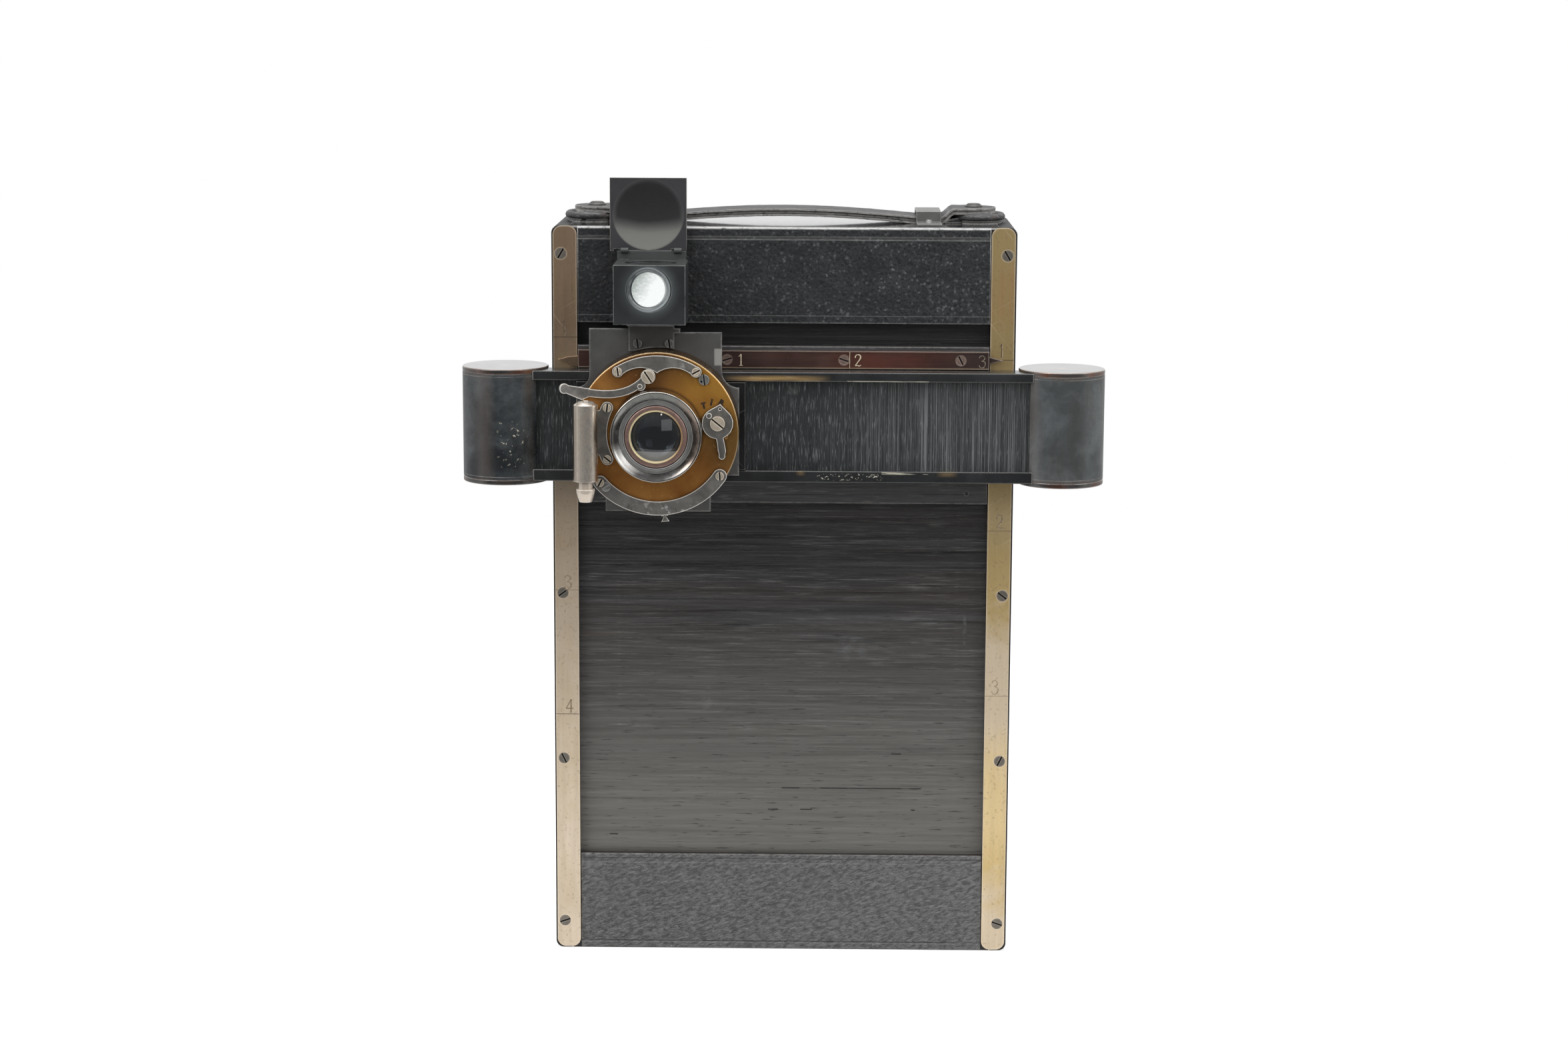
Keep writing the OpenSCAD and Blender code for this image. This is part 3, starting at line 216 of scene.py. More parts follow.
def fill_pebble(tree, takes):
    """Leather pebbles: rounded cells of uneven size, and the creases between them."""
    warp = tree.node("TexNoise", {"Vector": takes["Place"], "Scale": takes["Cells"], "Detail": 2.0})
    shift = tree.node("VectorMath", {0: warp.outputs["Color"], 1: (0.0016, 0.0016, 0.0016)},
                      operation="MULTIPLY").outputs[0]
    place = tree.node("VectorMath", {0: takes["Place"], 1: shift}, operation="ADD").outputs[0]
    cells = tree.node("TexVoronoi", {"Vector": place, "Scale": takes["Cells"], "Smoothness": 0.6},
                      feature="SMOOTH_F1").outputs["Distance"]
    edges = tree.node("TexVoronoi", {"Vector": place, "Scale": takes["Cells"]},
                      feature="DISTANCE_TO_EDGE").outputs["Distance"]
    return [tree.ramp(cells, 0.75, 0.1), tree.ramp(edges, 0.16, 0.01)]


def fill_flecks(tree, takes):
    """Spots where a stretched noise passes a threshold."""
    spots = tree.noise(tree.scaled(takes["Place"], takes["Stretch"]), 1.0, 4.0, 0.6)
    return [tree.ramp(spots, takes["From"], takes["To"])]


def fill_clouds(tree, takes):
    """Slow, soft variation."""
    return [tree.ramp(tree.noise(takes["Place"], takes["Scale"], 4.0, 0.6, 0.4), 0.3, 0.7)]


def fill_edge_wear(tree, takes):
    """Outer edges, patchily: a solid is thin there when it is felt from inside."""
    inside = tree.node("AmbientOcclusion", {"Distance": takes["Reach"]}, samples=6, inside=True,
                       only_local=True).outputs["AO"]
    edge = tree.ramp(inside, 0.96, 0.66)
    patches = tree.noise(takes["Place"], takes["Patches"], 3.0, 0.65)
    worn = tree.ramp(tree.plus(patches, takes["Amount"]), 0.86, 1.06)
    return [tree.times(edge, worn)]


def fill_scratches(tree, takes):
    """Hairlines in two directions, in places."""
    layers = []
    for angle, stretch in ((0.5, (30, 30, 2600)), (-0.9, (24, 24, 2200))):
        turned = tree.node("VectorRotate", {"Vector": takes["Place"], "Angle": angle},
                           rotation_type="Y_AXIS").outputs[0]
        layers.append(tree.ramp(tree.noise(tree.scaled(turned, stretch), 1.0, 2.0), takes["From"],
                                tree.plus(takes["From"], 0.05)))
    return [tree.times(tree.most(*layers), tree.ramp(tree.noise(takes["Place"], 60.0), 0.45, 0.6))]


def fill_ruled_line(tree, takes):
    """A straight line at one value of a coordinate."""
    off = tree.gap(takes["Along"], takes["At"])
    return [tree.ramp(off, tree.times(takes["Half width"], 1.5),
                      tree.times(takes["Half width"], 0.6))]


def fill_dirt_and_shade(tree, takes):
    """Grime and painted shade in corners, slots and the narrow gaps beside other pieces."""
    open_sky = tree.node("AmbientOcclusion", {"Distance": takes["Reach"]}, samples=6).outputs["AO"]
    return [tree.ramp(open_sky, takes["From"], tree.minus(takes["From"], 0.4))]


def fill_streaks(tree, takes):
    """Short pale dashes along the grain, thinner and thicker by turns."""
    dashes = tree.noise(tree.scaled(takes["Place"], takes["Stretch"]), 1.0, 5.0, 0.7)
    stretch = tree.scaled(takes["Stretch"], (0.09, 0.09, 0.09))
    bands = tree.noise(tree.scaled(takes["Place"], stretch), 1.0, 3.0)
    return [tree.times(tree.ramp(dashes, 0.52, 0.68), tree.ramp(bands, 0.36, 0.62, 0.2, 1.0))]


PLACE = (0.0, 0.0, 0.0)
EFFECTS = {
    "Grain": (fill_grain, {"Place": PLACE, "Stretch": (10.0, 10.0, 10.0), "Detail": 4.0}, ["Value"]),
    "Pebble": (fill_pebble, {"Place": PLACE, "Cells": 450.0}, ["Height", "Crease"]),
    "Flecks": (fill_flecks, {"Place": PLACE, "Stretch": (300.0, 300.0, 300.0), "From": 0.62,
                             "To": 0.66}, ["Mask"]),
    "Clouds": (fill_clouds, {"Place": PLACE, "Scale": 40.0}, ["Value"]),
    "Edge wear": (fill_edge_wear, {"Place": PLACE, "Reach": 0.0006, "Patches": 500.0, "Amount": 0.5},
                  ["Mask"]),
    "Dirt": (fill_dirt_and_shade, {"Reach": 0.0006, "From": 0.8}, ["Mask"]),
    "Streaks": (fill_streaks, {"Place": PLACE, "Stretch": (2000.0, 100.0, 1.0)}, ["Mask"]),
    "Scratches": (fill_scratches, {"Place": PLACE, "From": 0.66}, ["Mask"]),
    "Ruled line": (fill_ruled_line, {"Along": 0.0, "At": 0.0, "Half width": 0.0001}, ["Mask"]),
}


def effect_group(name):
    """The shared node group of one effect, made at its first use."""
    group = bpy.data.node_groups.get(name)
    if group:
        return group
    fill, takes, gives = EFFECTS[name]
    group = bpy.data.node_groups.new(name, "ShaderNodeTree")
    for label, value in takes.items():
        kind = "NodeSocketVector" if isinstance(value, tuple) else "NodeSocketFloat"
        group.interface.new_socket(label, in_out="INPUT", socket_type=kind).default_value = value
    for label in gives:
        group.interface.new_socket(label, in_out="OUTPUT", socket_type="NodeSocketFloat")
    start = group.nodes.new("NodeGroupInput")
    end = group.nodes.new("NodeGroupOutput")
    results = fill(Tree(group.nodes, group.links), {label: start.outputs[label] for label in takes})
    for label, result in zip(gives, results):
        group.links.new(result, end.inputs[label])
    return group


class Finish(Tree):
    """One material while it is laid out."""

    def __init__(self, name, sheet=False):
        self.material = bpy.data.materials.new(name)
        self.material.use_nodes = True
        nodes = self.material.node_tree.nodes
        nodes.clear()
        super().__init__(nodes, self.material.node_tree.links)
        self.colours = bpy.context.scene.camera_colours
        self.sizes = bpy.context.scene.camera_sizes
        if sheet:
            self.place = self.node("UVMap", uv_map="rest").outputs[0]
        else:
            self.place = self.node("TexCoord").outputs["Object"]
        self.parts = self.node("SeparateXYZ", {0: self.place})

    def paint(self, colour):
        """A colour of the scene by its name, or one given as on a screen."""
        return getattr(self.colours, colour) if isinstance(colour, str) else tint(*colour)

    def axis(self, letter):
        return self.parts.outputs[letter]

    def effect(self, name, output=0, place=None, **inputs):
        made = self.nodes.new("ShaderNodeGroup")
        made.node_tree = effect_group(name)
        if "Place" in made.inputs:
            self.put(made.inputs["Place"], self.place if place is None else place)
        for key, value in inputs.items():
            self.put(made.inputs[key.replace("_", " ").capitalize()], value)
        return made.outputs[output] if output is not None else made.outputs

    def clouds(self, scale, **inputs):
        return self.effect("Clouds", scale=scale, **inputs)

    def grain(self, stretch, detail=4.0, **inputs):
        return self.effect("Grain", stretch=every_way(stretch), detail=detail, **inputs)

    def flecks(self, stretch, low, high, **inputs):
        return self.effect("Flecks", stretch=every_way(stretch), From=low, To=high, **inputs)

    def wear(self, reach=0.0006, amount=0.5, patches=500.0):
        return self.effect("Edge wear", reach=reach, amount=amount, patches=patches)

    # Darker where little of the sky is open: grime and painted shade.
    def dirt(self, reach, start=0.8):
        return self.effect("Dirt", reach=reach, From=start)

    def scratches(self, start):
        return self.effect("Scratches", From=start)

    def line(self, letter, at, half_width):
        return self.effect("Ruled line", along=self.axis(letter), at=at * MM, half_width=half_width * MM)

    def patch(self, soft=0.6, **ranges):
        """Part of the piece between two values of its coordinates, in millimetres."""
        masks = []
        for letter, (low, high) in ranges.items():
            value = self.axis(letter.upper())
            masks.append(self.times(self.ramp(value, (low - soft) * MM, (low + soft) * MM),
                                    self.ramp(value, (high + soft) * MM, (high - soft) * MM)))
        return self.times(*masks)

    def over(self, colour, mask, share, coat):
        """Lays a second colour over the first where the mask is, at most by the share."""
        return self.mix(self.times(mask, share), colour, coat)

    def layers(self, colour, coats):
        """Lays coats over a colour, one after another: each is (mask, share, coat)."""
        for mask, share, coat in coats:
            colour = self.over(colour, mask, share, coat)
        return colour

    def off_axis(self, x, z):
        """How far a point is to the right of a line along Y, and above it."""
        return self.minus(self.axis("X"), x * MM), self.minus(self.axis("Z"), z * MM)

    def radius(self, side, up):
        return self.sum("SQRT", self.plus(self.times(side, side), self.times(up, up)))

    def done(self, colour, rough, metal=0.0, relief=(), **constants):
        """Joins colour, roughness, metal and relief (heights in metres) to the shader."""
        shader = self.node("BsdfPrincipled", {"Base Color": colour, "Roughness": rough,
                                              "Metallic": metal})
        for label, value in constants.items():
            self.put(shader.inputs[label.replace("_", " ")], value)
        if relief:
            height = self.plus(*(self.times(value, depth * MM) for value, depth in relief))
            bump = self.node("Bump", {"Strength": 1.0, "Distance": 1.0, "Height": height})
            self.put(shader.inputs["Normal"], bump.outputs[0])
        ending = self.node("OutputMaterial")
        self.links.new(shader.outputs[0], ending.inputs[0])
        return self.material


def every_way(stretch):
    """A stretch given as one number is the same along all three axes."""
    return stretch if isinstance(stretch, tuple) else (stretch,) * 3


def shade(colour, share):
    """A colour made lighter or darker."""
    return tuple(min(1.0, channel * share) for channel in colour[:3])


def upper_leather(f):
    base = f.colours.leather
    height, wide = f.effect("Pebble", None, cells=1 / f.sizes.pebble)
    curls = f.clouds(900)
    curls = f.ramp(f.gap(curls, 0.5), 0.11, 0.03)
    clouds = f.clouds(35)
    broken = f.flecks(900, 0.26, 0.66)
    patches = f.flecks((120, 120, 150), 0.36, 0.6)
    # Small pale dots on the pebbles are painted highlights.
    pebble_highlights = f.ramp(f.effect("Pebble", cells=0.92 / f.sizes.pebble), 0.6, 0.92)
    pebble_highlights = f.times(pebble_highlights, broken)
    veins_and_highlights = f.times(f.most(f.times(wide, 0.6), curls), broken)
    veins_and_highlights = f.most(f.times(veins_and_highlights, 0.35), pebble_highlights)
    veins_and_highlights = f.times(veins_and_highlights, f.span(patches, 0.45, 1))
    lines = f.most(f.line("Z", 252.5, 0.16), f.line("Z", 253.6, 0.16))
    lines = f.most(lines, f.line("Z", 226.4, 0.12))
    # A lighter band in the groove between the two tooled lines: painted sheen.
    sheen_groove = f.line("Z", 253.05, 0.5)
    top = f.ramp(f.axis("Z"), 0.2562, 0.2569)
    front = f.minus(1, top)
    wear = f.wear(0.0005, 0.6)
    colour = f.mix(clouds, shade(base, 0.75), shade(base, 1.2))
    colour = f.over(colour, patches, 0.25, shade(base, 1.6))
    veins_and_highlights = f.times(veins_and_highlights, f.ramp(f.axis("X"), -0.06, 0.03, 0.45, 1))
    colour = f.layers(colour, [
        (f.times(veins_and_highlights, front), 0.46, tint(132, 134, 134)),
        (sheen_groove, 0.3, tint(88, 88, 88)),
        (f.times(lines, f.span(clouds, 0.4, 1)), 0.5, tint(116, 116, 116))])
    wear = f.times(wear, f.ramp(f.axis("Z"), 0.235, 0.25, 0.25, 1))
    colour = f.over(colour, wear, 0.65, tint(196, 196, 194))
    rough = f.minus(f.span(veins_and_highlights, 0.4, 0.56), f.times(top, 0.24))
    return f.done(colour, rough,
                  relief=[(f.times(height, front), 0.12), (wide, -0.03), (f.times(veins_and_highlights, front), 0.05),
                          (sheen_groove, -0.1), (lines, 0.05)], Specular_IOR_Level=0.35, Coat_Weight=top,
                  Coat_Roughness=0.06)


def lower_leather(f):
    base = tint(34, 34, 34)
    height = f.effect("Pebble", cells=0.55 / f.sizes.pebble)
    tilted = f.node("VectorRotate", {"Vector": f.place, "Angle": 0.4}, rotation_type="Y_AXIS").outputs[0]
    folds = f.clouds(440, place=f.scaled(tilted, (1, 1, 1.9)))
    fine = f.clouds(900, place=f.scaled(tilted, (1, 1, 2)))
    clouds = f.clouds(22)
    # Fold creases are painted darker and fold tops lighter: painted shade and painted light of the folds.
    crease = f.ramp(folds, 0.42, 0.3)
    light = f.ramp(folds, 0.55, 0.72)
    dark = f.most(f.line("Z", 33.2, 0.14), f.line("Z", 2.9, 0.18))
    dark = f.times(dark, f.flecks((60, 200, 200), 0.3, 0.5))
    pale = f.most(f.line("Z", 31.6, 0.14), f.line("Z", 2.4, 0.14))
    # The whole leather is painted several times lighter than the upper leather: a painted sheen of the white
    # table in front.
    colour = f.mix(clouds, shade(base, 4.2), shade(base, 5.8))
    colour = f.layers(colour, [
        (light, 0.45, shade(base, 9.5)),
        (crease, 0.5, shade(base, 0.7)),
        (pale, 0.35, tint(128, 128, 127)),
        (dark, 0.8, tint(16, 16, 17))])
    wear = f.wear(0.0005, 0.45)
    colour = f.over(colour, wear, 0.5, tint(150, 148, 144))
    rough = f.span(fine, 0.34, 0.44)
    return f.done(colour, rough, relief=[(height, 0.3), (folds, 0.6), (fine, 0.12), (dark, -0.1)],
                  Specular_IOR_Level=0.6)


def strap_leather(f):
    base = f.colours.strap
    height, crease = f.effect("Pebble", None, cells=620)
    layers = f.grain((30, 400, 2600))
    frayed = f.flecks((240, 700, 900), 0.52, 0.66)
    brown = f.flecks((90, 160, 200), 0.6, 0.68)
    wear = f.wear(0.0006, 0.6, 700)
    colour = f.mix(layers, shade(base, 0.45), shade(base, 1))
    colour = f.mix(f.times(brown, 0.35), colour, tint(92, 70, 56))
    colour = f.mix(f.times(frayed, 0.3), colour, tint(136, 135, 134))
    colour = f.mix(f.times(wear, 0.6), colour, tint(176, 174, 170))
    return f.done(colour, f.span(layers, 0.42, 0.62),
                  relief=[(height, 0.08), (crease, -0.06), (layers, 0.08), (frayed, 0.05)])


CONTRAST = 1.6    # How much lighter and darker the bands of plain wood are


def wood(f, base, stretch, worn, amount=0.45, rough=(0.35, 0.55), **constants):
    """Grained wood: fibres, broad bands, dark pores and rubbed edges."""
    base = f.paint(base)
    fibres = f.grain(stretch)
    bands = f.grain(tuple(s * 0.22 for s in stretch), 2)
    pores = f.flecks(tuple(s * 1.7 for s in stretch), 0.63, 0.7)
    colour = f.layers(f.mix(fibres, shade(base, 1 / CONTRAST), base), [
        (bands, 0.5, shade(base, CONTRAST)),
        (pores, 0.5, shade(base, 0.4)),
        (f.wear(amount=amount), 0.8, tint(*worn))])
    return f.done(colour, f.span(fibres, *rough), relief=[(fibres, 0.03), (pores, -0.03)], **constants)


# Cracks of the lower blind, each from one x to another at a height, and its scuffs: x, z and half sizes
CRACKS = (((38.6, 42.2), 71.0), ((0.0, 49.4), 58.4), ((-4.8, -1.2), 50.6), ((6.6, 10.9), 50.6),
          ((45.8, 47.2), 50.6), ((-60.9, -58.0), 41.1))
SCUFFS = ((24.1, 109.1, 7.0, 5.0), (-26.5, 90.5, 2.4, 6.0), (63.9, 116.0, 0.8, 9.0))


def case_veneer(f):
    """Front blinds: grain along X, brown tints, cracks, pale scuffs and hardly visible slats."""
    base = f.colours.veneer
    height = f.axis("Y")
    fibres = f.grain((12, 560, 1), 9)
    bands = f.grain((4, 330, 1), 4)
    broad = f.grain((3, 55, 1), 2)
    brown = f.flecks((4, 60, 1), 0.46, 0.62)
    pits = f.flecks((120, 1500, 1), 0.6, 0.66)
    pale = f.effect("Streaks", stretch=(50, 1300, 1))
    cracks = f.most(*(f.patch(0.12, x=x_range, y=(z - 0.2, z + 0.2)) for x_range, z in CRACKS))
    cracks = f.times(cracks, f.flecks((110, 300, 1), 0.34, 0.46))
    scuffs = []
    for x, z, wide, high in SCUFFS:
        side = f.sum("DIVIDE", f.minus(f.axis("X"), x * MM), wide * MM)
        up = f.sum("DIVIDE", f.minus(height, z * MM), high * MM)
        scuffs.append(f.ramp(f.plus(f.times(side, side), f.times(up, up)), 1, -0.2))
    scuff = f.most(*scuffs)
    scuff = f.times(scuff, f.flecks((210, 340, 1), 0.44, 0.66))
    edge = f.most(f.line("X", -57.3, 0.6), f.line("X", 61, 0.6))
    colour = f.mix(fibres, shade(base, 0.12), shade(base, 2.5))
    colour = f.layers(colour, [
        (bands, 0.5, shade(base, 0.35)),
        (f.times(brown, broad), 0.5, tint(66, 58, 50)),
        (pale, 0.5, tint(126, 126, 124)),
        (f.times(edge, pale), 0.3, tint(130, 128, 126)),
        (scuff, 0.3, tint(128, 132, 138))])
    # Lighter towards the bottom, with the grain kept: a painted reflection of the white table.
    table_sheen = f.times(f.ramp(height, 0.125, 0.05), f.ramp(fibres, 0.15, 0.85, 0.72, 1))
    table_sheen = f.times(table_sheen, f.ramp(bands, 0.1, 0.9, 0.86, 1))
    colour = f.layers(colour, [
        (table_sheen, 0.8, tint(110, 108, 103)),
        # This coat and the last one darken the blind towards the top: painted shade.
        (f.ramp(height, 0.12, 0.165), 0.55, shade(base, 0.2)),
        (pits, 0.6, tint(10, 10, 11)),
        (cracks, 0.95, tint(6, 6, 7)),
        (f.ramp(height, 0.165, 0.205), 0.4, shade(base, 0.3))])
    rough = f.span(fibres, 0.3, 0.46)
    return f.done(colour, rough,
                  relief=[(fibres, 0.1), (bands, 0.08), (broad, 0.1), (pits, -0.05), (cracks, -0.1)],
                  Specular_IOR_Level=0.4)


def side_veneer(f):
    """Blinds in the carriage's frame: grain along Z, with pale dashes and, at the right, longer lines."""
    base = tint(56, 60, 62)
    fibres = f.grain((2300, 26, 1), 6)
    bands = f.grain((90, 6, 1), 3)
    dashes = f.flecks((3000, 170, 1), 0.56, 0.66)
    lines = f.flecks((3000, 14, 1), 0.5, 0.64)
    right = f.ramp(f.axis("X"), 0.012, 0.05)
    dashes = f.times(dashes, f.span(right, 1, 0.6))
    scratch = f.times(f.patch(0.4, x=(2, 5), y=(200.3, 203.6)),
                      f.flecks((2600, 120, 1), 0.45, 0.6,
                               place=f.node("VectorRotate", {"Vector": f.place, "Angle": -0.75},
                                            rotation_type="Z_AXIS").outputs[0]))
    colour = f.mix(fibres, shade(base, 0.25), shade(base, 0.9))
    colour = f.layers(colour, [
        (bands, 0.5, shade(base, 0.25)),
        (f.times(right, fibres), 0.22, tint(88, 89, 90)),
        (dashes, 0.65, tint(122, 125, 127)),
        (f.times(lines, right), 0.62, tint(128, 129, 130)),
        (scratch, 0.6, tint(120, 122, 122))])
    return f.done(colour, f.span(fibres, 0.3, 0.44), relief=[(fibres, 0.025), (dashes, 0.02)],
                  Specular_IOR_Level=0.55)


def black_lacquer(f, base="lacquer", edge=(110, 106, 98), amount=0.2, rough=(0.16, 0.3), rubbed=0.5,
                  patch=None):
    """Glossy black lacquer, chipped to the ground along its edges."""
    base = f.paint(base)
    clouds = f.clouds(60)
    dust_and_light = f.flecks(1500, 0.68, 0.73)
    wear = f.wear(0.0007, amount, 260)
    rub = f.wear(0.0003, 0.62, 120)
    colour = f.mix(clouds, shade(base, 0.75), shade(base, 1.3))
    if patch:
        colour = f.over(colour, f.patch(0.25, x=patch[0], z=patch[1]), 0.85, tint(150, 150, 146))
    colour = f.layers(colour, [
        (dust_and_light, 0.3, tint(140, 138, 134)),
        (f.scratches(0.68), 0.3, tint(110, 110, 108)),
        (rub, rubbed, tint(128, 126, 122))])
    # Near black in corners and gaps: grime and painted shade.
    colour = f.over(f.mix(wear, colour, tint(*edge)), f.dirt(0.0007), 0.6, tint(8, 8, 8))
    return f.done(colour, f.span(clouds, *rough), relief=[(clouds, 0.03), (wear, -0.03)])


def finder_lacquer(f):
    base = f.colours.finder
    clouds = f.clouds(90)
    rub = f.wear(0.0003, 0.55, 160)
    dust_and_light = f.flecks(1500, 0.7, 0.74)
    radius = f.radius(*f.off_axis(FINDER_X - 0.5, FINDER_AXIS))
    glow = f.ramp(radius, 0.0118, 0.006)
    front = f.ramp(f.axis("Y"), -0.0518, -0.0524)
    glow = f.times(glow, glow, front)
    right = f.ramp(f.axis("X"), -0.052, -0.04)
    glow = f.times(glow, f.span(right, 0.35, 1))
    # The ring line on the rim is painted pale, more to the right: a painted highlight.
    ring = f.times(f.effect("Ruled line", along=radius, at=0.0072, half_width=0.00024),
                   f.span(right, 0.4, 0.8))
    top = f.times(f.ramp(f.axis("Z"), 0.24565, 0.24575), f.ramp(f.axis("Y"), -0.0527, -0.0523))
    colour = f.mix(clouds, shade(base, 0.8), shade(base, 1.2))
    colour = f.layers(colour, [
        (glow, 0.5, tint(128, 138, 140)),
        (f.times(ring, front), 0.55, tint(168, 176, 178)),
        (dust_and_light, 0.35, tint(150, 150, 148)),
        (rub, 0.7, tint(138, 140, 140)),
        # Near black in corners and gaps: grime and painted shade.
        (f.dirt(0.0006), 0.6, tint(8, 8, 8))])
    colour = f.mix(top, colour, tint(40, 43, 42))
    return f.done(colour, f.span(clouds, 0.4, 0.52), relief=[(clouds, 0.01)])


def dull_black(f):
    """Matt black paint of the chamber and the blades."""
    clouds = f.clouds(120)
    fine = f.grain(2400)
    colour = f.mix(clouds, tint(14, 14, 15), tint(24, 24, 25))
    return f.done(colour, f.span(fine, 0.5, 0.66), relief=[(fine, 0.008)])


def housing_lacquer(f):
    """Cloudy grey-green black of the two cylinders, with chips on the left one."""
    base = f.colours.housing
    clouds = f.clouds(62)
    small = f.clouds(330)
    right = f.ramp(f.axis("X"), 0, 0.05)
    pale = f.times(f.ramp(clouds, 0.3, 0.8), f.span(small, 0.5, 1))
    pale = f.times(pale, f.span(right, 0.5, 0.8))
    chips = f.flecks((620, 620, 700), 0.62, 0.645)
    chips = f.times(chips, f.patch(1.5, x=(-96.5, -88.5), z=(176, 192)))
    ends = f.most(f.ramp(f.axis("Z"), 0.2052, 0.2066), f.ramp(f.axis("Z"), 0.1722, 0.1712))
    ends = f.times(ends, f.flecks((90, 90, 300), 0.44, 0.6))
    stain = f.flecks((110, 110, 22), 0.5, 0.64)
    lines = f.most(f.line("Z", 206.3, 0.1), f.line("Z", 171.7, 0.1))
    lines = f.times(lines, f.clouds(120))
    # Soft vertical bands on both cylinders are painted highlights.
    highlight_strips = f.most(f.patch(1.5, x=(-104.5, -99.5)), f.patch(0.8, x=(81.4, 87)))
    colour = f.mix(clouds, shade(base, 1.1), shade(base, 2.2))
    colour = f.layers(colour, [
        (right, 0.45, tint(86, 90, 91)),
        (pale, 0.5, tint(118, 124, 126)),
        (stain, 0.25, tint(62, 54, 48)),
        (highlight_strips, 0.35, tint(92, 84, 80)),
        (ends, 0.25, tint(92, 66, 50)),
        (lines, 0.5, tint(170, 168, 164))])
    colour = f.mix(chips, colour, tint(196, 190, 172))
    rough = f.span(small, 0.2, 0.36)
    return f.done(colour, rough, relief=[(clouds, 0.05), (small, 0.012), (chips, -0.05)], Coat_Weight=0.25,
                  Coat_Roughness=0.12)


def cap_lacquer(f):
    """Glossy black cap tops whose rims are rubbed down to copper in places."""
    clouds = f.clouds(70)
    wear = f.wear(0.0005, 0.5, 130)
    rub = f.wear(0.0005, 0.8, 60)
    band = f.flecks((80, 80, 120), 0.47, 0.58)
    flat = f.most(f.ramp(f.axis("Z"), 0.20872, 0.20882), f.ramp(f.axis("Z"), 0.16905, 0.16895))
    side = f.times(f.minus(1, flat), band)
    copper = f.mix(clouds, shade(f.colours.copper, 0.4), shade(f.colours.copper, 0.8))
    colour = f.mix(clouds, tint(30, 30, 31), tint(52, 51, 50))
    colour = f.layers(colour, [
        (side, 0.45, copper),
        (wear, 0.85, copper),
        (rub, 0.35, tint(196, 186, 172))])
    metal = f.times(f.most(wear, side), 0.6)
    rough = f.minus(f.span(clouds, 0.22, 0.36), f.times(flat, 0.12))
    return f.done(colour, rough, metal, relief=[(clouds, 0.01), (wear, -0.02)], Coat_Weight=1,
                  Coat_Roughness=0.08, Specular_IOR_Level=0.9)


def plain_metal(f, base, rough=(0.25, 0.42), dull=0.3, edge=1.6, metal=1):
    """Plain metal: clouded tarnish, small spots, hairlines, grime and painted shade in its slots, and
    brighter edges.
    """
    base = f.paint(base)
    clouds = f.clouds(140)
    fine = f.clouds(700)
    scratches = f.scratches(0.68)
    # Darker in slots and corners: grime and painted shade.
    dirt = f.dirt(0.0005, 0.66)
    colour = f.layers(f.mix(clouds, shade(base, 1 - dull), base), [
        (f.flecks(1300, 0.64, 0.7), 0.3, shade(base, 0.35)),
        (scratches, 0.4, shade(base, 1.25)),
        (f.wear(0.00035, 0.8, 200), 0.8, shade(base, edge)),
        (dirt, 0.9, tint(20, 18, 16))])
    rough = f.plus(f.span(fine, *rough), f.times(dirt, 0.3))
    shine = f.times(f.minus(1, f.times(dirt, 0.7)), metal)
    return f.done(colour, rough, shine, relief=[(fine, 0.001), (scratches, -0.002)])


def worn_paint(f, scale, low, high, paint, under, rough, metal=0):
    """Two colours in small flecks."""
    return f.done(f.mix(f.flecks(scale, low, high), tint(*paint), tint(*under)), rough, metal)


def nickel(f):
    """Dull grey nickel of the shutter's furniture: smudged, pale at the right end of the bridge."""
    base = f.colours.nickel
    clouds = f.clouds(110)
    fine = f.clouds(800)
    pale = f.flecks(500, 0.56, 0.64)
    places = f.most(f.patch(1.5, x=(-36, -27), z=(207, 212)), f.patch(1.5, x=(-50, -22), z=(160.5, 165)))
    pale = f.times(pale, f.span(places, 0.05, 1))
    wear = f.wear(0.0003, 0.95, 200)
    scratches = f.scratches(0.7)
    # Darker in corners and gaps: grime and painted shade.
    dirt = f.dirt(0.0005, 0.62)
    smudges = f.flecks(320, 0.5, 0.64)
    colour = f.mix(clouds, shade(base, 0.42), shade(base, 0.84))
    colour = f.layers(colour, [
        (smudges, 0.4, shade(base, 0.34)),
        (pale, 0.5, tint(216, 214, 210)),
        (scratches, 0.3, shade(base, 1.3)),
        (wear, 0.95, tint(250, 246, 238)),
        (dirt, 0.85, tint(18, 16, 14))])
    rough = f.plus(f.span(fine, 0.34, 0.42), f.times(pale, 0.15))
    shine = f.minus(f.span(dirt, 0.76, 0.3), f.times(wear, 0.5))
    return f.done(colour, rough, shine, relief=[(pale, 0.002)])


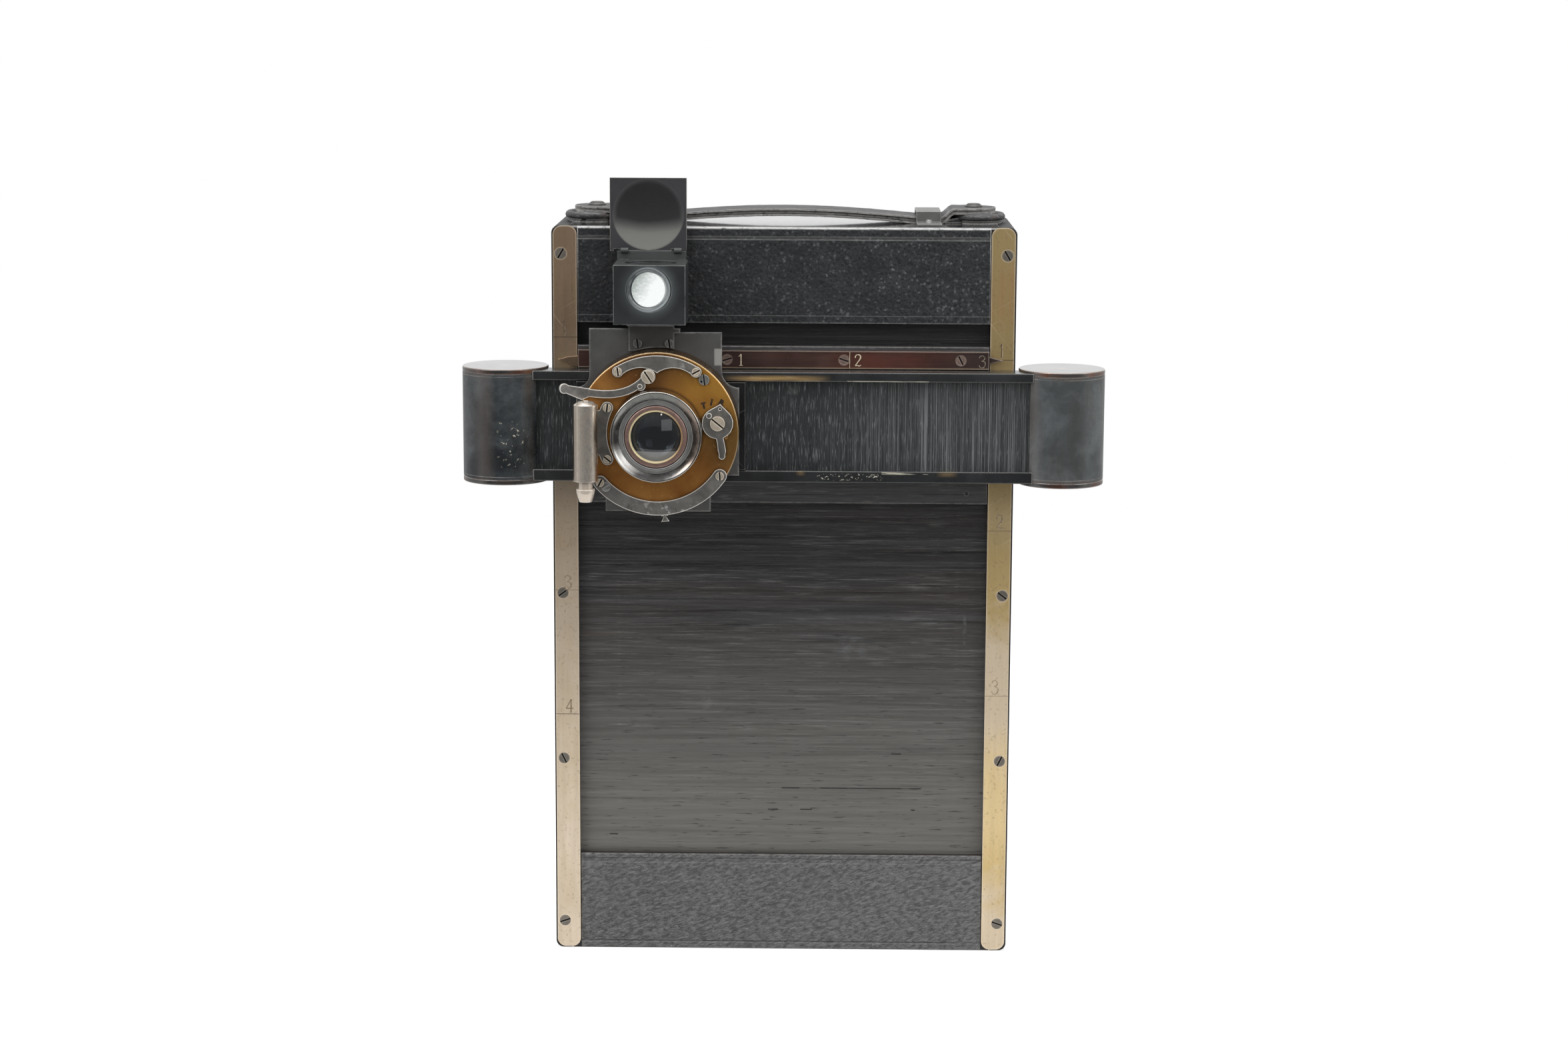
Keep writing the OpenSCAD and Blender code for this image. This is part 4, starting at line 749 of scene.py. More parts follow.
def bright_nickel(f):
    """Nickel of the air cylinder with a mottled band where it is dulled."""
    base = f.colours.bright_nickel
    mottle = f.flecks((900, 900, 600), 0.36, 0.64)
    clouds = f.clouds(110)
    off = f.gap(f.axis("X"), (AIR_X - 0.1) * MM)
    barrel = f.ramp(f.axis("Z"), 0.1728, 0.1736)
    band = f.times(f.ramp(off, 0.0032, 0.002), f.span(mottle, 0.6, 1))
    band = f.times(band, barrel, f.ramp(f.axis("X"), -0.055, -0.06))
    left = f.ramp(f.axis("X"), -0.0655, -0.0675)
    wear = f.wear(0.0004, 0.8, 200)
    # Darker in corners and gaps: grime and painted shade.
    dirt = f.dirt(0.0007, 0.78)
    dirt = f.times(dirt, f.ramp(f.axis("Z"), 0.1718, 0.1728, 0.2, 1))
    colour = f.mix(f.times(clouds, 0.5), base, tint(196, 178, 156))
    colour = f.layers(colour, [
        (band, 0.85, f.mix(left, tint(128, 124, 118), tint(176, 170, 160))),
        (f.times(band, mottle), 0.3, tint(92, 90, 88)),
        (wear, 0.85, tint(255, 248, 236)),
        (dirt, 0.85, tint(24, 20, 18))])
    shine = f.times(f.span(dirt, 0.95, 0.3), f.span(band, 1, 0.6))
    shine = f.times(shine, f.ramp(f.axis("Z"), 0.1722, 0.1732, 0.4, 1))
    return f.done(colour, f.span(band, 0.16, 0.4), shine, relief=[(mottle, 0.002)])


def rail_brass(f, golden=False):
    """Brass rail: tarnished at the top, rubbed silvery at the bottom; the right one stays yellower."""
    height = f.axis("Z")
    clouds = f.clouds(60)
    spots = f.flecks(900, 0.58, 0.66)
    smear = f.grain((500, 500, 30))
    scratches = f.scratches(0.68)
    wear = f.wear(0.0005, 0.7, 140)
    # Darker in corners and gaps: grime and painted shade.
    dirt = f.dirt(0.0006, 0.75)
    warped = f.plus(height, f.span(clouds, -0.012, 0.012))
    light, dark = f.colours.rail_light, f.colours.rail_dark
    if golden:
        colour = f.mix(f.ramp(warped, 0.2, 0.05), shade(f.colours.rail_gold, 0.72),
                       shade(f.colours.rail_gold, 1.2))
        silver = f.most(f.ramp(warped, 0.036, 0.016),
                        f.times(f.ramp(warped, 0.13, 0.108), f.ramp(warped, 0.06, 0.086)))
        colour = f.layers(colour, [
            (silver, 0.8, light),
            (f.patch(8, z=(38, 78)), 0.55, tint(238, 214, 168)),
            (f.patch(7, z=(150, 163)), 0.4, tint(190, 172, 142)),
            (f.times(f.line("Z", 234, 9), smear), 0.35, tint(160, 96, 60))])
    else:
        colour = f.mix(f.ramp(warped, 0.225, 0.07), shade(dark, 0.92), light)
        colour = f.layers(colour, [
            (f.patch(9, z=(90, 108)), 0.5, tint(216, 202, 184)),
            (f.flecks((60, 60, 30), 0.5, 0.7), 0.3, tint(176, 150, 98))])
    colour = f.layers(colour, [
        (smear, 0.2, shade(dark, 0.8)),
        (spots, 0.3, shade(dark, 0.6)),
        (scratches, 0.25, shade(light, 1.25)),
        (wear, 0.55, shade(light, 1.1)),
        (dirt, 0.8, tint(30, 24, 18))])
    return f.done(colour, f.span(smear, 0.32, 0.48), 0.55,
                  relief=[(clouds, 0.02), (smear, 0.006), (scratches, -0.006), (spots, -0.004)])


def amber_brass(f):
    """Lacquered brass of the shutter's face: amber with brown clouds, golden at the upper right."""
    side, up = f.off_axis(*LENS)
    radius = f.radius(side, up)
    clouds = f.clouds(70)
    fine = f.clouds(260)
    speck = f.flecks(900, 0.66, 0.7)
    gold = f.plus(f.times(side, 24), f.times(up, 24))
    gold = f.ramp(f.plus(gold, f.span(clouds, -0.2, 0.2)), 0.2, 0.85)
    brown = f.ramp(f.plus(f.times(up, 34), f.times(f.absolute(f.plus(side, 0.002)), -34)), 0, 0.6)
    right = f.ramp(f.minus(f.times(side, 60), f.absolute(f.times(f.plus(up, 0.004), 66))), 0.2, 1.3)
    rim = f.ramp(radius, 0.02722, 0.0274)
    # Darker round the barrel and beside raised parts: grime and painted shade.
    dirt = f.dirt(0.0014, 0.84)
    colour = f.mix(clouds, tint(136, 87, 38), tint(170, 119, 62))
    colour = f.layers(colour, [
        (gold, 0.8, tint(176, 130, 54)),
        (brown, 0.75, tint(88, 58, 38)),
        (right, 0.7, tint(84, 66, 40)),
        (fine, 0.15, tint(70, 44, 22)),
        (speck, 0.5, tint(206, 160, 104)),
        (dirt, 0.8, tint(38, 20, 8)),
        (rim, 0.85, tint(206, 182, 142))])
    return f.done(colour, f.span(fine, 0.28, 0.4), f.span(rim, 0.5, 1),
                  relief=[(clouds, 0.02), (fine, 0.002)], Specular_IOR_Level=0.3)


def scale_lacquer(f):
    """Red-brown scale bar, worn to a pale line at its top edge and a gold strip at its bottom."""
    base = f.colours.scale
    clouds = f.clouds(70)
    streaks = f.grain((40, 900, 900))
    dark = f.flecks((22, 300, 100), 0.44, 0.62)
    red = f.ramp(f.gap(f.axis("X"), 0.036), 0.022, 0.006)
    wear = f.wear(0.0004, 0.66, 110)
    low = f.ramp(f.axis("Z"), 0.20905, 0.2088)
    high = f.line("Z", 213.8, 0.1)
    end = f.ramp(f.axis("X"), 0.058, 0.066)
    # Darker in corners and gaps: grime and painted shade.
    dirt = f.dirt(0.0006, 0.78)
    colour = f.mix(clouds, shade(base, 0.6), shade(base, 1.1))
    colour = f.layers(colour, [
        (red, 0.8, tint(92, 46, 36)),
        (dark, 0.6, tint(46, 34, 33)),
        (end, 0.8, tint(44, 37, 37)),
        (streaks, 0.2, tint(96, 76, 68)),
        (high, 0.5, tint(22, 16, 16)),
        (f.times(low, f.span(streaks, 0.2, 0.8)), 0.8, tint(150, 128, 96)),
        (wear, 0.75, tint(164, 150, 138)),
        (dirt, 0.8, tint(20, 12, 12))])
    return f.done(colour, f.span(clouds, 0.24, 0.4), 0.2, relief=[(clouds, 0.02), (streaks, 0.006)])


def cell_brass(f):
    """Pinkish milled brass of the lens cell, blackened inside."""
    base = f.colours.cell
    clouds = f.clouds(200)
    fine = f.flecks(1600, 0.5, 0.66)
    inside = f.ramp(f.axis("Y"), -0.0597, -0.0594)
    # Darker in corners and gaps: grime and painted shade.
    dirt = f.dirt(0.0005, 0.75)
    colour = f.mix(clouds, shade(base, 0.75), shade(base, 1.1))
    colour = f.layers(colour, [
        (fine, 0.35, shade(base, 0.55)),
        (dirt, 0.7, tint(26, 18, 16)),
        (inside, 1, tint(12, 12, 12))])
    return f.done(colour, f.span(fine, 0.3, 0.5), f.span(inside, 0.6, 0), relief=[(fine, 0.01)])


def gold_edge(f):
    """Bright bevel round the front glass, duller at the right."""
    right = f.ramp(f.axis("X"), -0.042, -0.034)
    return f.done(f.mix(right, tint(226, 210, 168), tint(170, 138, 104)), 0.3, 0.5)


def gilt_paint(f):
    worn = f.flecks(1500, 0.55, 0.62)
    return f.done(f.mix(f.times(worn, 0.4), f.colours.gilt, shade(f.colours.gilt, 0.4)), 0.5)


def clear_glass(f):
    """Optical glass, with a little dust."""
    dust_and_light = f.flecks(1400, 0.73, 0.75)
    rough = f.span(dust_and_light, 0.01, 0.3)
    return f.done(f.mix(dust_and_light, tint(236, 240, 246), tint(200, 204, 210)), rough, 0, Transmission_Weight=1,
                  IOR=1.7)


def opal_glass(f):
    """Finder glass filled with daylight from above: white, greyer at its upper left."""
    side, up = f.off_axis(FINDER_X - 0.7, FINDER_AXIS)
    mottle = f.flecks((900, 900, 1500), 0.36, 0.64)
    grey = f.plus(f.times(side, -150), f.times(up, 90))
    grey = f.ramp(f.plus(grey, f.span(mottle, -0.2, 0.2)), -0.2, 0.9)
    colour = f.mix(grey, tint(228, 232, 230), tint(160, 168, 164))
    glow = f.mix(grey, (0.09, 0.095, 0.095), (0, 0, 0))
    return f.done(colour, f.span(mottle, 0.12, 0.3), Emission_Color=glow, Emission_Strength=1,
                  Coat_Weight=0.5, Coat_Roughness=0.05)


def ground_glass(f):
    """Focusing screen, finely ground, with a pencilled grid of the picture rows and columns."""
    fine = f.grain(3000)
    grid = (("X", -21.17), ("X", 21.17), ("Z", 99.87), ("Z", 159.13))
    lines = f.most(*(f.line(letter, at, 0.2) for letter, at in grid))
    colour = f.mix(f.times(lines, 0.7), tint(208, 216, 214), tint(70, 72, 74))
    return f.done(colour, f.span(fine, 0.42, 0.6), relief=[(fine, 0.01)], Transmission_Weight=0.35, IOR=1.5)


def carriage_wood(f):
    """Dark board with short pale flecks along its grain."""
    base = f.colours.board
    fibres = f.grain((26, 1000, 1000), 8)
    pale = f.flecks((110, 1300, 1300), 0.58, 0.68)
    pits = f.flecks((60, 1500, 1500), 0.6, 0.68)
    wear = f.wear(amount=0.5)
    # A nail hole painted near black: painted shade inside the hole.
    hole_shade = f.sum("SQRT",
                 f.plus(f.sum("POWER", f.minus(f.axis("X"), 0.0637), 2),
                        f.sum("POWER", f.minus(f.axis("Z"), 0.16505), 2)))
    hole_shade = f.times(f.ramp(hole_shade, 0.00075, 0.0006), f.ramp(f.axis("Y"), -0.0275, -0.0279))
    colour = f.mix(fibres, shade(base, 0.5), shade(base, 1.6))
    colour = f.layers(colour, [
        (pits, 0.6, tint(16, 16, 17)),
        (pale, 0.35, tint(116, 116, 115)),
        (wear, 0.8, tint(110, 106, 102)),
        (hole_shade, 0.95, tint(8, 8, 8))])
    return f.done(colour, f.span(fibres, 0.34, 0.5), relief=[(fibres, 0.06), (pits, -0.04)],
                  Specular_IOR_Level=0.8)


def frame_lacquer(f):
    """Lacquer of the carriage's frame, worn to gold and cream in some stretches of its two bars."""
    base = tint(36, 37, 38)
    clouds = f.clouds(60)
    rub = f.wear(0.0004, 0.66, 60)
    chips = f.flecks((900, 900, 1500), 0.58, 0.62)
    long_chips = f.flecks((70, 300, 1300), 0.44, 0.54)
    smear = f.flecks((60, 300, 700), 0.3, 0.62)
    white = f.flecks((90, 300, 1500), 0.54, 0.66)
    # Darker in corners and gaps: grime and painted shade.
    dirt = f.dirt(0.0008)
    away = f.ramp(f.gap(f.axis("X"), -0.002), 0.019, 0.006)
    gold = f.times(f.patch(0.7, z=(205.3, 206.6)), away, f.span(smear, 0.35, 1))
    cream = f.times(f.patch(0.14, x=(22, 50), z=(205, 205.3)), long_chips)
    low = f.times(f.patch(0.6, x=(12, 34), z=(171.3, 173)), chips)
    low = f.most(low, f.times(f.patch(0.2, x=(34, 50), z=(173.1, 173.8)), long_chips))
    cream = f.most(cream, low)
    ochre = f.most(f.patch(1.1, x=(5.4, 7), z=(173.3, 173.8)), f.patch(1.4, x=(54, 59), z=(173.4, 173.7)))
    ochre = f.times(ochre, f.span(smear, 0.3, 1))
    colour = f.mix(clouds, shade(base, 0.75), shade(base, 1.3))
    colour = f.layers(colour, [
        (rub, 0.5, tint(140, 138, 134)),
        (gold, 0.9, tint(168, 138, 88)),
        (f.times(gold, white), 0.8, tint(186, 178, 158)),
        (ochre, 0.7, tint(170, 142, 96)),
        (cream, 0.9, tint(186, 182, 164)),
        (dirt, 0.6, tint(8, 8, 8))])
    rough = f.plus(f.span(clouds, 0.16, 0.3), f.times(cream, 0.3))
    return f.done(colour, rough, relief=[(clouds, 0.04), (cream, -0.05), (gold, -0.02)], Coat_Weight=0.3,
                  Coat_Roughness=0.1)


def lid_black(f):
    """Dull paint of the finder's lid, with painted shade in its dish and painted light in the dish's lower
    part and at its rim.
    """
    clouds = f.clouds(120)
    fine = f.grain(2400)
    side, up = f.off_axis(FINDER_X - 1.55, 261.167)
    radius = f.radius(side, up)
    # The dish is painted darker: painted shade.
    dish = f.ramp(radius, 0.0124, 0.012)
    # Its lower part and its rim are painted lighter: painted light.
    low = f.minus(up, f.times(side, side, 14))
    low = f.plus(low, f.span(clouds, -0.0003, 0.0003))
    low = f.ramp(low, -0.0022, -0.0064)
    rim = f.times(f.ramp(radius, 0.0105, 0.0123), 0.7)
    dust_and_light = f.times(f.most(low, rim), dish)
    rub = f.wear(0.0003, 0.55, 160)
    lit = f.mix(f.ramp(up, 0.002, -0.007), tint(68, 68, 70), tint(102, 102, 98))
    colour = f.mix(clouds, tint(40, 40, 43), tint(50, 50, 53))
    colour = f.layers(colour, [
        (dish, 0.75, tint(20, 20, 22)),
        (dust_and_light, 1, lit),
        (rub, 0.6, tint(140, 136, 128))])
    return f.done(colour, f.span(fine, 0.46, 0.6), relief=[(fine, 0.006)])


def rail_mark(f):
    """Lines and figures struck in the rails: rubbed nearly flat, deepest at the left rail's fourth row."""
    height = f.axis("Z")
    deep = f.times(f.patch(1, x=(-80, -70), z=(84, 92)), 0.8)
    colour = f.mix(f.ramp(height, 0.2, 0.1), tint(86, 70, 56), tint(158, 142, 118))
    return f.done(f.mix(deep, colour, tint(84, 72, 56)), 0.5, 0.3)


def barrel_nickel(f):
    """Bright milled nickel of the barrel's rim, smudged on its bevel."""
    base = f.colours.nickel
    side, up = f.off_axis(*LENS)
    radius = f.radius(side, up)
    angle = f.sum("ARCTAN2", up, side)
    clouds = f.clouds(160)
    smudges = f.flecks(300, 0.46, 0.6)
    bevel = f.ramp(radius, 0.01505, 0.0149)
    low = f.times(f.ramp(up, -0.0108, -0.0128), bevel)
    # Darker in corners and gaps: grime and painted shade.
    dirt = f.dirt(0.0005, 0.66)
    colour = f.mix(clouds, shade(base, 0.6), shade(base, 0.9))
    colour = f.layers(colour, [
        (f.times(bevel, smudges), 0.25, tint(112, 110, 110)),
        (low, 0.8, tint(122, 120, 120))])
    # The top of the bevel is painted darker: painted shade that dims its reflection.
    high = f.times(f.ramp(up, 0.006, 0.0115), bevel)
    glint = f.ramp(f.absolute(f.plus(angle, 2.5)), 0.5, 0.05)
    colour = f.layers(colour, [
        (high, 0.7, tint(92, 94, 92)),
        # The bevel's right side is painted warmer: a painted warm highlight.
        (f.times(bevel, f.ramp(side, 0.006, 0.012)), 0.5, tint(150, 126, 110)),
        (f.times(glint, bevel), 0.85, tint(238, 236, 232)),
        (f.minus(1, bevel), 0.4, tint(196, 194, 188)),
        (dirt, 0.85, tint(22, 20, 18))])
    rough = f.span(f.times(bevel, smudges), 0.2, 0.3)
    shine = f.times(f.span(dirt, 1, 0.3), f.span(glint, 1, 0.4))
    return f.done(colour, rough, shine, relief=[(clouds, 0.002)])


def finder_leaf(f):
    """Dull dark paint of the finder's back wall, in the glow of its glass."""
    clouds = f.clouds(120)
    return f.done(f.mix(clouds, tint(50, 53, 52), tint(58, 62, 60)), 0.6)


def front_glass(f):
    """Lens glass, dark inside, with painted glow, a painted table reflection along its foot and a painted
    highlight.
    """
    side, up = f.off_axis(*LENS)
    dust_and_light = f.flecks(1300, 0.72, 0.74)
    low = f.plus(up, f.times(side, side, -4))
    table_reflection = f.times(f.ramp(low, -0.0051, -0.0053), f.ramp(f.axis("Y"), -0.057, -0.0574))
    # A small white dot near the top is a painted highlight.
    spark = f.plus(f.gap(side, 0.0018), f.gap(up, 0.0074))
    spark = f.ramp(spark, 0.0004, 0.0002)
    # A faint glow all over, though the glass is no lamp: painted glow.
    glow = f.mix(table_reflection, (0.009, 0.01, 0.011), (0.12, 0.12, 0.115))
    glow = f.mix(spark, glow, (0.9, 0.8, 0.75))
    rough = f.span(dust_and_light, 0.01, 0.3)
    return f.done(f.mix(dust_and_light, tint(112, 116, 122), tint(160, 162, 166)), rough, 0, Emission_Color=glow,
                  Emission_Strength=1, Transmission_Weight=1, IOR=1.6)


# Black for the slots of screws: painted shade in their recesses.
def slot_black(f):
    return f.done(tint(9, 8, 8), 0.6)


SLOT_EXTRA = 0.11 * MM        # how far each wall of a slot moves out
SLOT_REACH = 0.15 * MM        # points this near to a slot's floor belong to its walls
HEAD_THICKNESS = 1.3 * MM
SLOT_AREA = 3.2e-6            # largest floor of a slot, in square metres
SLOT_DEPTH = 0.12 * MM        # least depth of a slot
SAME_LEVEL = 0.05 * MM


def widen(shape, floor, level):
    """Moves the two walls of a screw's slot apart."""
    verts = sorted({vert for face in floor for vert in face.verts}, key=lambda vert: vert.index)
    middle = sum((vert.co for vert in verts), Vector()) / len(verts)
    one, two = max(((one, two) for one in verts for two in verts),
                   key=lambda pair: (pair[0].co - pair[1].co).length)
    along = Vector((one.co.x - two.co.x, 0, one.co.z - two.co.z)).normalized()
    across = along.cross(Vector((0, 1, 0)))
    half = max(abs((vert.co - middle).dot(across)) for vert in verts)
    length = max(abs((vert.co - middle).dot(along)) for vert in verts)
    for vert in shape.verts:
        step = vert.co - middle
        side = step.dot(across)
        if (half * 0.6 < abs(side) < half + SLOT_REACH and abs(step.dot(along)) < length + SLOT_REACH
                and level - HEAD_THICKNESS < vert.co.y < level + 0.01 * MM):
            vert.co += across * (SLOT_EXTRA if side > 0 else -SLOT_EXTRA)


def slotted(thing):
    """Blackens the slots of screws with painted shade: small faces turned forwards that lie in front-facing
    heads.
    """
    mesh = thing.data
    mesh.materials.append(finish("Slot black"))
    shape = bmesh.new()
    shape.from_mesh(mesh)
    flat = {face for face in shape.faces if face.normal.y < -0.9}
    while flat:
        group = [flat.pop()]
        for face in group:
            for edge in face.edges:
                for other in edge.link_faces:
                    rise = other.calc_center_median().y - face.calc_center_median().y
                    if other in flat and abs(rise) < SAME_LEVEL:
                        flat.discard(other)
                        group.append(other)
        level = group[0].calc_center_median().y
        around = {vert.co.y for face in group for vert in face.verts for edge in vert.link_edges
                  for vert in edge.verts}
        if sum(face.calc_area() for face in group) < SLOT_AREA and min(around) < level - SLOT_DEPTH:
            for face in group:
                face.material_index = 1
            widen(shape, group, level)
    shape.to_mesh(mesh)
    shape.free()


METALS = {    # base colour, roughness, dulling, brightness of edges, metal
    "Steel": ("steel", (0.34, 0.46), 0.35, 1.7, 0.6),
    "Brass": ("brass",),
    "Black screw": ((124, 124, 122), (0.3, 0.42), 0.4, 2, 0.5),
    "Bar steel": ((132, 112, 104), (0.36, 0.48), 0.35, 1.8, 0.5),
    "Clip steel": ((120, 120, 118), (0.34, 0.46), 0.35, 1.6, 0.5),
    "Dark stud": ((70, 68, 66), (0.4, 0.5), 0.4, 1.6, 0.2),
    "Drum brass": ((120, 88, 52), (0.24, 0.36), 0.4, 1.9, 0.9),
    "Pointer brass": ("rail_dark", (0.3, 0.42), 0.35, 1.5, 0.7),
    "Screw nickel": ((206, 194, 176), (0.3, 0.42), 0.35, 1.6, 0.55),
}
WORN_PAINTS = {    # size and limits of the flecks, both colours, roughness, metal
    "Engraved": (1200, 0.5, 0.6, (46, 38, 28), (70, 58, 44), 0.6),
    "Letter black": (1200, 0.56, 0.64, (30, 18, 8), (70, 42, 14), 0.5),
    "Dull gilt": (1500, 0.5, 0.6, (122, 112, 98), (70, 60, 54), 0.5),
    # A pale copy of the rail figures: painted highlight.
    "Struck edge": (900, 0.48, 0.6, (186, 170, 142), (134, 118, 96), 0.4, 0.4),
}
CHARCOAL = {"edge": (120, 120, 118), "rough": (0.34, 0.48)}
VARIANTS = {
    "Ebonised wood": (wood, {"base": "ebonised", "stretch": (500, 500, 14), "worn": (72, 60, 52),
                             "amount": 0.3, "rough": (0.42, 0.6), "Specular_IOR_Level": 0.25}),
    "Ebonised board": (wood, {"base": "ebonised", "stretch": (12, 700, 700), "worn": (96, 74, 58)}),
    "Mahogany": (wood, {"base": "mahogany", "stretch": (420, 420, 12), "worn": (150, 100, 66),
                        "amount": 0.35, "rough": (0.26, 0.42), "Coat_Weight": 0.3, "Coat_Roughness": 0.2}),
    "Board lacquer": (black_lacquer, {**CHARCOAL, "base": (71, 71, 70), "amount": 0.46, "rubbed": 0.25,
                                      "patch": ((-23.4, -20.0), (210.6, 216.3))}),
    # The bracket's black lacquer is painted much lighter: painted light where the finder box shades it.
    "Bracket lacquer": (black_lacquer, {**CHARCOAL, "base": (70, 70, 69), "amount": 0.5}),
    "Left rail brass": (rail_brass, {"golden": False}),
    "Right rail brass": (rail_brass, {"golden": True}),
}
MAKERS = (upper_leather, lower_leather, strap_leather, carriage_wood, case_veneer, side_veneer, black_lacquer,
          frame_lacquer, finder_lacquer, dull_black, lid_black, housing_lacquer, cap_lacquer, nickel,
          bright_nickel, amber_brass, scale_lacquer, cell_brass, gold_edge, gilt_paint, clear_glass,
          opal_glass, ground_glass, barrel_nickel, finder_leaf, front_glass, slot_black, rail_mark)
SHEETS = ("Case veneer", "Side veneer")


def finish(name):
    """The material of this name, made at its first use."""
    made = bpy.data.materials.get(name)
    if made:
        return made
    f = Finish(name, sheet=name in SHEETS)
    if name in METALS:
        return plain_metal(f, *METALS[name])
    if name in WORN_PAINTS:
        return worn_paint(f, *WORN_PAINTS[name])
    if name in VARIANTS:
        maker, values = VARIANTS[name]
        return maker(f, **values)
    return next(maker for maker in MAKERS if maker.__name__ == name.lower().replace(" ", "_"))(f)


# Shapes

def cut(shape, place, normal, **settings):
    """Cuts a shape with a plane."""
    return bmesh.ops.bisect_plane(shape, geom=shape.verts[:] + shape.edges[:] + shape.faces[:],
                                  plane_co=place, plane_no=normal, **settings)



def body_of(node):
    bodies = frame["record"]["behaviour"]["bodies"]
    return next(body for body, nodes in bodies.items() if node in nodes)


def solid(node):
    """A solid as one clean mesh: its points merged, its flat faces whole."""
    shape = bmesh.new()
    shape.from_mesh(frame["nodes"][node].data)
    bmesh.ops.remove_doubles(shape, verts=shape.verts, dist=1e-6)
    bmesh.ops.dissolve_limit(shape, angle_limit=math.radians(0.3), verts=shape.verts, edges=shape.edges)
    return shape


def islands(shape, wanted):
    """Keeps the loose parts whose middle passes the test."""
    seen = set()
    for start in list(shape.verts):
        if start in seen:
            continue
        island = [start]
        seen.add(start)
        for vert in island:
            for edge in vert.link_edges:
                other = edge.other_vert(vert)
                if other not in seen:
                    seen.add(other)
                    island.append(other)
        low = [min(v.co[i] for v in island) for i in range(3)]
        high = [max(v.co[i] for v in island) for i in range(3)]
        if not wanted([(a + b) / 2 / MM for a, b in zip(low, high)]):
            bmesh.ops.delete(shape, geom=island, context="VERTS")
    return shape


def settle(name, shape, look, body, replaced=None, bevel=0.0, angle=35, segments=2,
           sheet=False):
    """Makes a piece of a shape, gives it its finish and lets it ride on its body."""
    mesh = bpy.data.meshes.new(name)
    shape.to_mesh(mesh)
    shape.free()
    mesh.polygons.foreach_set("use_smooth", [True] * len(mesh.polygons))
    thing = bpy.data.objects.new(name, mesh)
    bpy.context.scene.collection.objects.link(thing)
    mesh.materials.append(finish(look))
    if sheet:
        layer = mesh.uv_layers.new(name="rest")
        for loop in mesh.loops:
            place = mesh.vertices[loop.vertex_index].co
            layer.data[loop.index].uv = (place.x, place.z)
    if bevel:
        edges = thing.modifiers.new("Edges", "BEVEL")
        edges.width = bevel
        edges.segments = segments
        edges.limit_method = "ANGLE"
        edges.angle_limit = math.radians(angle)
        edges.miter_outer = "MITER_ARC"
        thing.modifiers.new("Normals", "WEIGHTED_NORMAL")
    else:
        mesh.set_sharp_from_angle(angle=math.radians(angle))
    if body:
        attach(thing, body)
    if replaced:
        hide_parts(replaced)
        paint(replaced, look)
    return thing


def dressed(name, node, look, bevel=0.0, segments=2, angle=35, keep=None):
    """A copy of a solid, or of some of its loose parts, with rounded edges and a finish."""
    shape = solid(node)
    if keep:
        islands(shape, keep)
    return settle(name, shape, look, body_of(node), node, bevel, angle, segments)


def paint(node, look):
    """Gives a solid that stays a finish."""
    mesh = frame["nodes"][node].data
    if not mesh.materials:
        mesh.materials.append(None)
    for index in range(len(mesh.materials)):
        mesh.materials[index] = finish(look)


def turned(profile, steps=128, centre=LENS):
    """A closed profile of (radius, y) in millimetres spun round an axis along Y."""
    shape = bmesh.new()
    middle = Vector((centre[0] * MM, 0, centre[1] * MM))
    verts = [shape.verts.new(middle + Vector((r * MM, y * MM, 0))) for r, y in profile]
    edges = [shape.edges.new((verts[i - 1], verts[i])) for i in range(len(verts))]
    bmesh.ops.spin(shape, geom=verts + edges, cent=middle, axis=(0, 1, 0), angle=2 * math.pi,
                   steps=steps, use_merge=True)
    bmesh.ops.remove_doubles(shape, verts=shape.verts, dist=1e-6)
    bmesh.ops.recalc_face_normals(shape, faces=shape.faces)
    return shape


def milled(shape, centre, low_r, high_r, low_y, high_y, depth, teeth):
    """Cuts teeth by drawing every second row of points inwards."""
    for vert in shape.verts:
        side = vert.co.x - centre[0] * MM
        up = vert.co.z - centre[1] * MM
        radius = math.hypot(side, up)
        if low_r * MM <= radius <= high_r * MM and low_y * MM <= vert.co.y <= high_y * MM:
            turn = math.atan2(up, side) / (2 * math.pi) * teeth
            if round(turn * 2) % 2:
                share = 1 - depth * MM / radius
                vert.co.x = centre[0] * MM + side * share
                vert.co.z = centre[1] * MM + up * share
    return shape


def tube(name, ways, look, body, flat=None, resolution=2):
    """Round wires along smooth ways: each way is (points, radius, smooth); flat squeezes them in Y."""
    curve = bpy.data.curves.new(name, "CURVE")
    curve.dimensions = "3D"
    curve.bevel_depth = 1.0
    curve.bevel_resolution = resolution
    curve.use_fill_caps = True
    for points, radius, smooth in ways:
        spline = curve.splines.new("NURBS" if smooth else "POLY")
        spline.points.add(len(points) - 1)
        for point, place in zip(spline.points, points):
            point.co = (place[0] * MM, place[1] * MM, place[2] * MM, 1)
            point.radius = radius * MM * (place[3] if len(place) > 3 else 1)
        if smooth:
            spline.order_u = 3
            spline.use_endpoint_u = True
            spline.resolution_u = 6
    holder = bpy.data.objects.new(name + "_way", curve)
    bpy.context.scene.collection.objects.link(holder)
    bpy.context.view_layer.update()
    mesh = bpy.data.meshes.new_from_object(holder.evaluated_get(bpy.context.evaluated_depsgraph_get()))
    bpy.data.objects.remove(holder)
    bpy.data.curves.remove(curve)
    shape = bmesh.new()
    shape.from_mesh(mesh)
    bpy.data.meshes.remove(mesh)
    bmesh.ops.remove_doubles(shape, verts=shape.verts, dist=1e-7)
    if flat:
        plane, share = flat
        for vert in shape.verts:
            vert.co.y = plane * MM + (vert.co.y - plane * MM) * share
    bmesh.ops.recalc_face_normals(shape, faces=shape.faces)
    return settle(name, shape, look, body)


